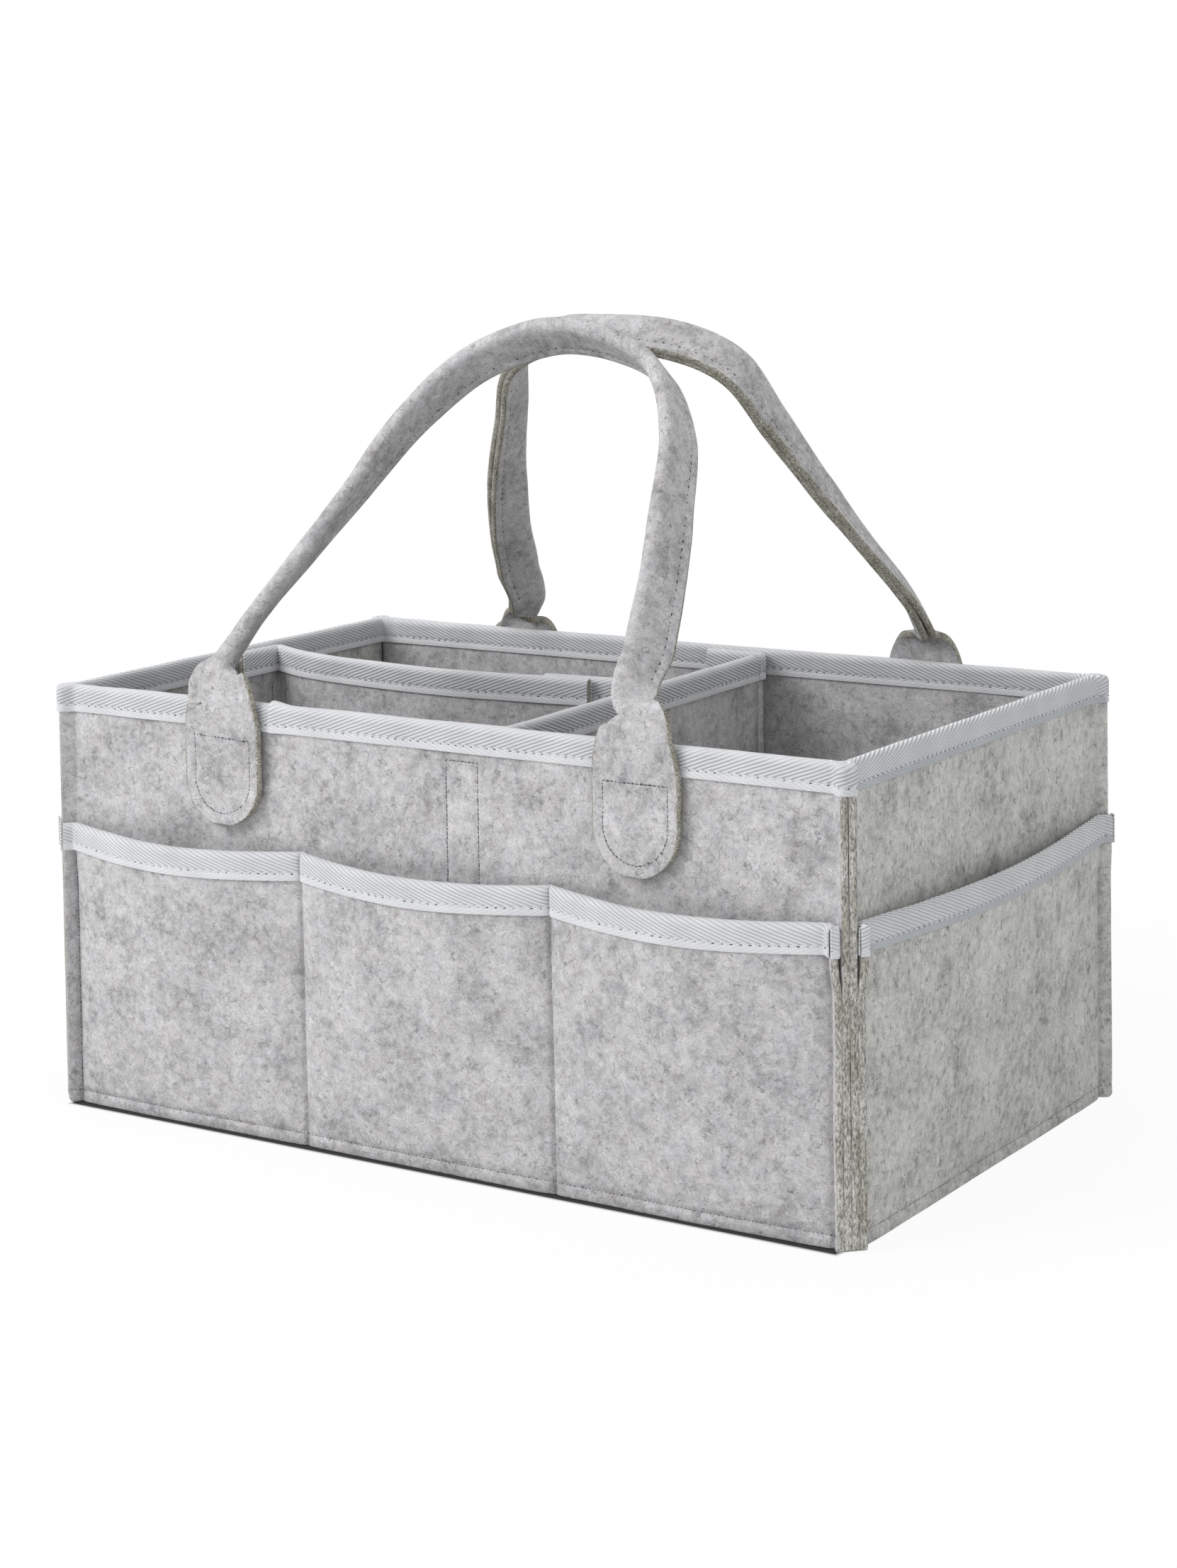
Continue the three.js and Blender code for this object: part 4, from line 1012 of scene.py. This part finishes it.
def makeHandle(name, plusLeg, minusLeg):
    side = sides[name]
    rootX = handle["tabX"][name] * (1 - box["endLean"] / halfLength * rise)
    low = handle["tabBottom"] - handle["root"]
    radius = handle["width"] / 2
    minusLine, plusLine = ([(sign * x * rootX, y * handle["reach"]) for x, y in leg["line"]]
                           for leg, sign in ((minusLeg, -1), (plusLeg, 1)))
    tabHeights = (low, low / 2, -handle["rootStraight"])
    line = curveThrough([(-rootX, z) for z in tabHeights] + minusLine + [(0, handle["reach"])]
                        + plusLine[::-1] + [(rootX, z) for z in tabHeights[::-1]])
    length = walkedLength(line)[-1]
    arc = radius * (1 - np.cos(np.linspace(0, math.pi / 2, 12)))
    body = spread(length - 2 * radius, handle["step"], trim=0) + radius
    fine = np.arange(handle["fineFrom"] - low, handle["fineTo"] - low, 1.0)   # over the rim
    bodyEnd = np.minimum(body, length - body)
    body = body[(bodyEnd < fine[0] - 0.5) | (bodyEnd > fine[-1] + 0.5)]
    places = np.unique(np.round(np.concatenate([arc, body, fine, length - fine, length - arc]), 3))
    centre = sample(line, places)
    tangent = directionAt(line, places, 0.5)
    end = np.minimum(places, length - places)
    fromRoot = end + low
    twist = np.radians(np.interp(smooth(fromRoot, 0, length / 2 + low), [0, 1],
                                 [handle["rootTwist"], handle["crestTwist"]]))
    minus = places < length / 2
    neck = np.where(minus, minusLeg["neck"], plusLeg["neck"])
    # Up to its root the strip is flat, with round ends and shoulders. Then it is gathered.
    roundEnd = np.sqrt(np.maximum(radius ** 2 - (radius - end) ** 2, 0))
    flatWide = np.where(end < radius, roundEnd, radius)
    shoulder = np.clip((fromRoot - handle["shoulder"]) / handle["shoulderReach"], 0, 1)
    shoulder = radius * np.sqrt(1 - shoulder ** handle["shoulderPower"])
    flatWide = np.maximum(np.minimum(flatWide, np.maximum(shoulder, neck)), handle["narrowest"])
    opened = smooth(fromRoot, 0, handle["open"])
    foldWide = handle["gathered"] + (radius - handle["gathered"]) * opened
    gather = np.where(minus, *(smooth(fromRoot, *leg["gather"]) for leg in (minusLeg, plusLeg)))
    slack = 1 - smooth(fromRoot, handle["slackFrom"], handle["slackTo"])
    turn = np.radians(handle["foldTurn"] - handle["slack"][name] * slack)
    drift = np.where(minus, minusLeg["drift"], plusLeg["drift"]) * radius / 2 * np.sin(twist)
    drift = drift * (1 - (1 - gather) ** 2)
    drift = drift * (1 - smooth(fromRoot, handle["open"] / 2, handle["open"] + handle["closeBy"]))

    half = spread(radius, handle["acrossStep"], marks=[radius - handle["seamInset"]],
                  near=(0, 0.5, 1.2))
    half = half[half > 0.8]
    across = np.concatenate([-half[::-1], [0], half])
    steps, profile, inward = stripProfile()
    r = handle["foldRadius"]
    grid = np.zeros((len(places), len(across), 3))
    for i in range(len(places)):
        q = across * foldWide[i] / radius
        inArc = np.minimum(np.abs(q) / r, turn[i])
        rest = np.abs(q) - r * inArc
        a = np.sign(q) * (r * np.sin(inArc) + rest * math.cos(turn[i]))
        depth = r * (1 - np.cos(inArc)) + rest * math.sin(turn[i])
        a, depth = (a * math.cos(twist[i]) - depth * math.sin(twist[i]),
                    depth * math.cos(twist[i]) + a * math.sin(twist[i]))
        a = drift[i] + across * flatWide[i] / radius * (1 - gather[i]) + a * gather[i]
        depth = depth * gather[i]
        x = centre[i, 0] + tangent[i, 1] * a
        s = centre[i, 1] - tangent[i, 0] * a
        spot = np.stack([np.interp(s, steps, profile[:, k]) for k in range(2)], -1)
        inside = np.stack([np.interp(s, steps, inward[:, k]) for k in range(2)], -1)
        spot = spot + inside * depth[:, None]
        grid[i] = np.insert(turned(side["turn"], x, spot[:, 0]), 2, spot[:, 1], axis=1)

    inset = radius - handle["tabInset"]
    arc = [(radius - inset * math.cos(t), inset * math.sin(t))
           for t in np.linspace(-math.pi / 2, math.pi / 2, 19)]
    crossAt = handle["tabCross"] - low
    tab = [(crossAt, -inset)] + arc + [(crossAt, inset), (crossAt, -inset)]
    tab = [(u, v * radius / float(np.interp(u, places, flatWide))) for u, v in tab]
    tabs = [tab, [(length - u, v) for u, v in tab]]
    inner, foldEnd = radius - handle["seamInset"], -handle["foldFrom"] - low
    folds = [[(foldEnd, v), (length - foldEnd, v)] for v in (-inner, inner)]
    groove = np.maximum(sewnGroove(places, across, tabs, *handle["tabGroove"]),
                        sewnGroove(places, across, folds, *handle["foldGroove"]))
    made = makeCloth(f"{name}Handle", grid, places, across, felt, dent=groove,
                     waves=handle["waves"])
    rootSide = 0.1139 if name == "back" else -0.1139
    joint = {"from": "caddy", "to": f"{name}_handle",
             "start": (0, rootSide, 0.182), "end": (0, rootSide, 0.194)}
    settle(made, joint, "felt", f"{name}_handle_strap", f"{name}_left_handle_tab",
           f"{name}_right_handle_tab")
    for title, paths, sunk, carrier in (("Tab", tabs, handle["tabSunk"], "caddy"),
                                        ("Strap", folds, handle["foldSunk"], f"{name}_handle")):
        runs = [(made, path, 1) for path in paths]
        settle(makeStitches(f"{name}{title}Stitches", runs, sunk=sunk), carrier, "felt")


makeHandle("front", legs["frontLeft"], legs["frontRight"])
makeHandle("back", legs["backRight"], legs["backLeft"])
print("stage: handles")


# Dividers

divider = {
    "low": 8.5, "feltTop": 177.8, "top": 179.0, "flap": 25.0, "crossBack": 29.0, "crossFront": 34.0,
    "flapX": 178.077, "flapY": 104.284, "stub": 7.0, "step": 6.0, "faceGap": 2.1,
    "longWallY": 24.0, "longRootY": 20.62, "lap": 5.7, "short": 60, "shortStep": 1.2,
    "tapeStep": 4.0, "seamLow": 4, "seamTop": 14, "seamPast": 5.0, "seamIn": 4.0, "sewnPast": 7,
    "seamSunk": 0.2, "groove": (0.5, 1.0), "crossBend": 3.0, "longBend": 1.8, "bendIn": 0.7,
    "joinIn": 8.0, "armFrom": -24, "armIn": 0.5, "fromCurve": 2.25,
    "waves": ((0.5, 55, 15), (0.14, 12, 16)), "tapeWaves": ((0.25, 22, 13),),
    # The long divider's bow, as shares of the way to the left wall and of the way to its nearest Y.
    "bow": ((1, 0), (0.85, 0.55), (0.62, 0.87), (0.36, 1)), "bowY": 1.0, "middleY": 8, "endY": 12,
}
strip = {"thickness": 0.9, "in": 2, "step": 4.0, "rise": 6.0, "waves": ((0.1, 20, 14),)}
stripOut = gap + strip["thickness"] / 2   # of its middle from the felt


# Felt standing on edge along a line in plan, sewn down a line at each mark.
def standing(name, line, trims, marks=()):
    total = walkedLength(line)[-1]
    step = divider["step"] if total > divider["short"] else divider["shortStep"]
    places = spread(total, step, trim=felt / 2 if trims else 0, marks=marks)
    heights = spread(divider["feltTop"] - divider["low"], divider["step"])
    grid = upright(sample(line, places), heights + divider["low"])
    paths = [[(u, divider["seamLow"]), (u, heights[-1] - divider["seamTop"])] for u in marks]
    made = makeCloth(name, grid, places, heights, felt, trims=(trims, True), waves=divider["waves"],
                     dent=sewnGroove(places, heights, paths, *divider["groove"]))
    return made, [(made, path, s) for path in paths for s in (1, -1)]


# Tape folded over the top edge of such a piece, with the runs of its stitches on both faces.
def standingTape(name, line, trims, fromEnds=(1, 1)):
    inside = felt / 2 + gap + tape["thickness"] / 2
    profile, across = foldedProfile(inside, -inside, divider["top"] - tape["reach"],
                                    divider["top"] - tape["thickness"] / 2)
    total = walkedLength(line)[-1]
    step = divider["tapeStep"] if total > divider["short"] else divider["shortStep"]
    places = spread(total, step, trim=tape["trim"] if trims else 0)
    plan = sample(line, places)
    ahead = directionAt(line, places, 0.3)
    sideways = np.stack([-ahead[:, 1], ahead[:, 0]], -1)
    grid = np.stack([np.insert(plan + sideways * depth, 2, z, axis=1) for depth, z in profile], 1)
    grid, across = grid[:, ::-1], across[::-1]
    sewn = across[-1] - tape["stitchUp"]
    paths = [[(0, v), (total, v)] for v in (sewn, -sewn)]
    made = makeCloth(name, grid, places, across, tape["thickness"], trims=(trims, True),
                     dent=sewnGroove(places, across, paths, *tape["groove"]),
                     waves=divider["tapeWaves"], faces=("dividerTape", "dividerTape"))
    return made, [(made, [(fromEnds[0], v), (total - fromEnds[1], v)], 1) for v in (sewn, -sewn)]


def offsetLine(line, distance):
    ahead = np.gradient(line, axis=0)
    ahead /= np.linalg.norm(ahead, axis=1, keepdims=True)
    return line + np.stack([-ahead[:, 1], ahead[:, 0]], -1) * distance


# The part of a line between two values of X.
def cutLine(line, fromX, toX):
    walked = walkedLength(line)
    start, end = np.interp([fromX, toX], line[:, 0], walked)
    inner = walked[(walked > start + 0.2) & (walked < end - 0.2)]
    return sample(line, np.concatenate([[start], inner, [end]]))


# Hook or loop tape standing along a line in plan.
def makeStrip(name, line, body, node, leaning=False):
    places = spread(walkedLength(line)[-1], strip["step"], tape["trim"])
    levels = spread(wall["stripHigh"] - wall["stripLow"], strip["rise"], tape["trim"])
    grid = upright(sample(line, places), levels + wall["stripLow"])
    made = makeCloth(name, leanIn(grid) if leaning else grid, places, levels, strip["thickness"],
                     faces=("hook", "hook"), waves=strip["waves"])
    settle(made, body, "hook_and_loop", node)


def makeCross():
    half = divider["flapY"] - felt / 2
    joinY = half - divider["stub"]
    ys = np.linspace(joinY, -joinY, 40)
    middle = np.stack([np.interp(ys, [-divider["flapY"], divider["flapY"]],
                                 [divider["crossFront"], divider["crossBack"]]), ys], -1)
    panel, _ = standing("crossDividerPanel", middle, False)
    settle(panel, "cross_divider", "felt", "cross_divider_panel")
    binding, runs = standingTape("crossDividerBinding", middle, False)
    settle(binding, "cross_divider", "tape", "cross_divider_binding")
    settle(makeStitches("crossTapeStitches", runs, "paleThread"), "cross_divider", "tape")
    for end, sign, x, start in (("back", 1, divider["crossBack"], middle[0]),
                                ("front", -1, divider["crossFront"], middle[-1])):
        tip = x - divider["faceGap"] - divider["flap"]
        line = filleted([start, (x, sign * half), (tip, sign * half)], [divider["crossBend"]])
        body = f"cross_{end}_flap"
        bend = {"from": "cross_divider", "to": body, "start": ((x + 1.5) / 1000, sign * 0.102, 0.1),
                "end": ((x - 4.5) / 1000, sign * 0.102, 0.1)}
        title = f"cross{end.title()}"
        mark = divider["stub"] + divider["seamPast"]
        flap, seams = standing(f"{title}Flap", line, False, marks=[mark])
        settle(flap, bend, "felt", body)
        cover, runs = standingTape(f"{title}FlapBinding", line, False,
                                   (divider["stub"] + divider["sewnPast"], 1))
        settle(cover, bend, "tape", f"{body}_binding")
        settle(makeStitches(f"{title}FlapTapeStitches", runs, "paleThread"), body, "tape")
        settle(makeStitches(f"{title}FlapSeam", seams, sunk=divider["seamSunk"]), body, "felt")
        y, first = sign * (divider["flapY"] + stripOut), tip + strip["in"]
        line = np.array([(first, y), (first + wall["stripWidth"], y)])
        makeStrip(f"{title}HookStrip", line, body, f"cross_{end}_hook_strip")


def makeLong():
    x, wallY = divider["flapX"], divider["longWallY"]
    crossX = np.interp(divider["middleY"], [-divider["flapY"], divider["flapY"]],
                       [divider["crossFront"], divider["crossBack"]]) - felt / 2
    bow = [(-s * x, wallY + (divider["bowY"] - wallY) * t) for s, t in divider["bow"]]
    curve = curveThrough(bow + [(0, divider["middleY"]), (crossX, divider["endY"])])
    panelLine = cutLine(curve, divider["joinIn"] - x, 0)
    panel, _ = standing("longDividerPanel", panelLine, True)
    settle(panel, "long_divider", "felt", "long_divider_panel")
    binding, runs = standingTape("longDividerBinding", panelLine, True)
    settle(binding, "long_divider", "tape", "long_divider_binding")
    settle(makeStitches("longTapeStitches", runs, "paleThread"), "long_divider", "tape")

    flapX = -x + felt / 2
    start = panelLine[0]
    low = divider["longRootY"] - divider["flap"]
    line = filleted([(flapX, low), (flapX, wallY - divider["bendIn"]), start],
                    [divider["longBend"]])
    bend = {"from": "long_divider", "to": "long_flap",
            "start": (start[0] / 1000, start[1] / 1000, 0.1), "end": (flapX / 1000, 0.018, 0.1)}
    mark = divider["flap"] - divider["seamIn"]
    flap, seams = standing("longDividerFlap", line, False, marks=[mark])
    settle(flap, bend, "felt", "long_divider_flap")
    cover, runs = standingTape("longDividerFlapBinding", line, False, (1, 10))
    settle(cover, bend, "tape", "long_divider_flap_binding")
    settle(makeStitches("longFlapTapeStitches", runs, "paleThread"), "long_flap", "tape")
    settle(makeStitches("longFlapSeam", seams, sunk=divider["seamSunk"]), "long_flap", "felt")
    hookX, first = -x - stripOut, low + strip["in"]
    makeStrip("longHookStrip", np.array([(hookX, first), (hookX, first + wall["stripWidth"])]),
              "long_flap", "long_divider_hook_strip")

    # The bracket's arm laps behind the free end and is sewn to the cross divider.
    arm = cutLine(offsetLine(curve, divider["lap"]), divider["armFrom"],
                  divider["crossBack"] - divider["armIn"])
    bracket, _ = standing("centreBracket", arm, True)
    settle(bracket, "cross_divider", "felt", "centre_bracket")
    cover, runs = standingTape("centreBracketBinding", arm, True)
    settle(cover, "cross_divider", "tape", "centre_bracket_binding")
    settle(makeStitches("bracketTapeStitches", runs, "paleThread"), "cross_divider", "tape")
    for name, offset, body, node in (
            ("longEndHookStrip", divider["fromCurve"], "long_divider", "long_end_hook_strip"),
            ("centreLoopStrip", divider["lap"] - divider["fromCurve"], "cross_divider",
             "centre_loop_strip")):
        line = cutLine(offsetLine(curve, offset), -strip["in"] - wall["stripWidth"], -strip["in"])
        makeStrip(name, line, body, node)


makeCross()
makeLong()
for name, middle in stripMiddle.items():
    side = sides[name]
    y = side["out"] - felt - stripOut
    ends = np.array([turned(side["turn"], middle + s * wall["stripWidth"] / 2, y) for s in (-1, 1)])
    makeStrip(f"{name}LoopStrip", ends, "caddy", f"{name}_loop_strip", leaning=True)
print("stage: dividers")


# Lights and floor

lights = {
    "key": {"place": (-1.0, -1.4, 1.3), "size": 1.3, "power": 26},
    "fill": {"place": (1.7, -0.6, 0.7), "size": 1.6, "power": 5},
    "top": {"place": (0.0, 0.3, 1.9), "size": 1.8, "power": 8},
}
# The line is a painted contact shadow on the floor: where it ends, how far past the long sides it
# reaches, and its soft edge.
studio = {"world": 0.5, "floorSize": 4.0, "floorDrop": 0.0002, "white": 0.92, "whiteFrom": 0.25,
          "whiteTo": 0.6, "paintedShadowEnd": -2, "paintedShadowOut": 3.8, "paintedShadowSoft": (-0.001, 0.0015)}


def makeLight(name, place, size, power):
    data = bpy.data.lights.new(name, "AREA")
    data.shape = "DISK"
    data.size = size
    data.energy = power
    made = bpy.data.objects.new(name, data)
    bpy.context.scene.collection.objects.link(made)
    made.location = place
    made.rotation_euler = (Vector((0, 0, 0.12)) - Vector(place)).to_track_quat("-Z", "Y").to_euler()


# Is 1 for what is seen directly, in a mirror or through glass, and 0 for light falling on things.
def directView(tree):
    seen = addNode(tree, "LightPath", out="Is Camera Ray")
    rays = seen.node.outputs
    for ray in ("Is Glossy Ray", "Is Transmission Ray"):
        seen = addNode(tree, "Math", {0: seen, 1: rays[ray]}, operation="MAXIMUM")
    return seen


def makeWorld():
    world = bpy.data.worlds.new("studio")
    bpy.context.scene.world = world
    world.use_nodes = True
    tree = world.node_tree
    soft = tree.nodes["Background"]
    soft.inputs["Color"].default_value = (1, 1, 1, 1)
    soft.inputs["Strength"].default_value = studio["world"]
    white = addNode(tree, "Background", {"Color": (1, 1, 1, 1), "Strength": 1.0})
    mixed = addNode(tree, "MixShader", {0: directView(tree), 1: soft.outputs[0], 2: white})
    tree.links.new(mixed, tree.nodes["World Output"].inputs["Surface"])


# A matt white paper sweep. To the eye it is nearly white by itself, which keeps the shadow faint.
# Under the caddy and a few millimetres past its long sides it is painted dark, as a contact shadow
# for the crisp line there.
def makeFloor():
    work = bmesh.new()
    bmesh.ops.create_grid(work, x_segments=1, y_segments=1, size=studio["floorSize"])
    mesh = bpy.data.meshes.new("floor")
    work.to_mesh(mesh)
    work.free()
    made = bpy.data.objects.new("floor", mesh)
    bpy.context.scene.collection.objects.link(made)
    made.location.z = -studio["floorDrop"]
    material, shader, add = newMaterial("whitePaperSweep", 0.8)
    tree = material.node_tree
    white = add("Emission", {"Color": (1, 1, 1, 1), "Strength": 1.0})
    place = add("TexCoord", out="Object")
    far = add("VectorMath", {0: place}, out="Value", operation="LENGTH")
    share = add("MapRange", {
        "Value": far, "From Min": studio["whiteFrom"], "From Max": studio["whiteTo"],
        "To Min": studio["white"], "To Max": 1.0})
    parts = add("SeparateXYZ", {0: place}).node.outputs
    # Painted contact shadow: the dark part is where the floor's own colour is darkened.
    past = []   # metres past the dark part, on each axis
    for axis, reach in (("X", halfLength + studio["paintedShadowEnd"]),
                        ("Y", halfWidth + felt + studio["paintedShadowOut"])):
        beyond = add("Math", {0: parts[axis]}, operation="ABSOLUTE")
        past.append(add("Math", {0: beyond, 1: reach / 1000}, operation="SUBTRACT"))
    past = add("Math", {0: past[0], 1: past[1]}, operation="MAXIMUM")
    clear = add("MapRange", {"Value": past, "From Min": studio["paintedShadowSoft"][0],
                             "From Max": studio["paintedShadowSoft"][1]})
    # Painted shadow: dark grey floor colour under the caddy and just past its long sides.
    base = add("Mix", {0: clear, 6: linear("#3c3c3c"), 7: linear("#f4f4f4")}, out=2,
               data_type="RGBA")
    tree.links.new(base, shader.inputs["Base Color"])
    share = add("Math", {0: share, 1: clear}, operation="MULTIPLY")
    share = add("Math", {0: share, 1: directView(tree)}, operation="MULTIPLY")
    mixed = add("MixShader", {0: share, 1: shader.outputs[0], 2: white})
    tree.links.new(mixed, tree.nodes["Material Output"].inputs["Surface"])
    mesh.materials.append(material)


for name, settings in lights.items():
    makeLight(name, **settings)
makeWorld()
makeFloor()
bpy.context.scene.view_settings.view_transform = "Standard"
print("stage: studio")
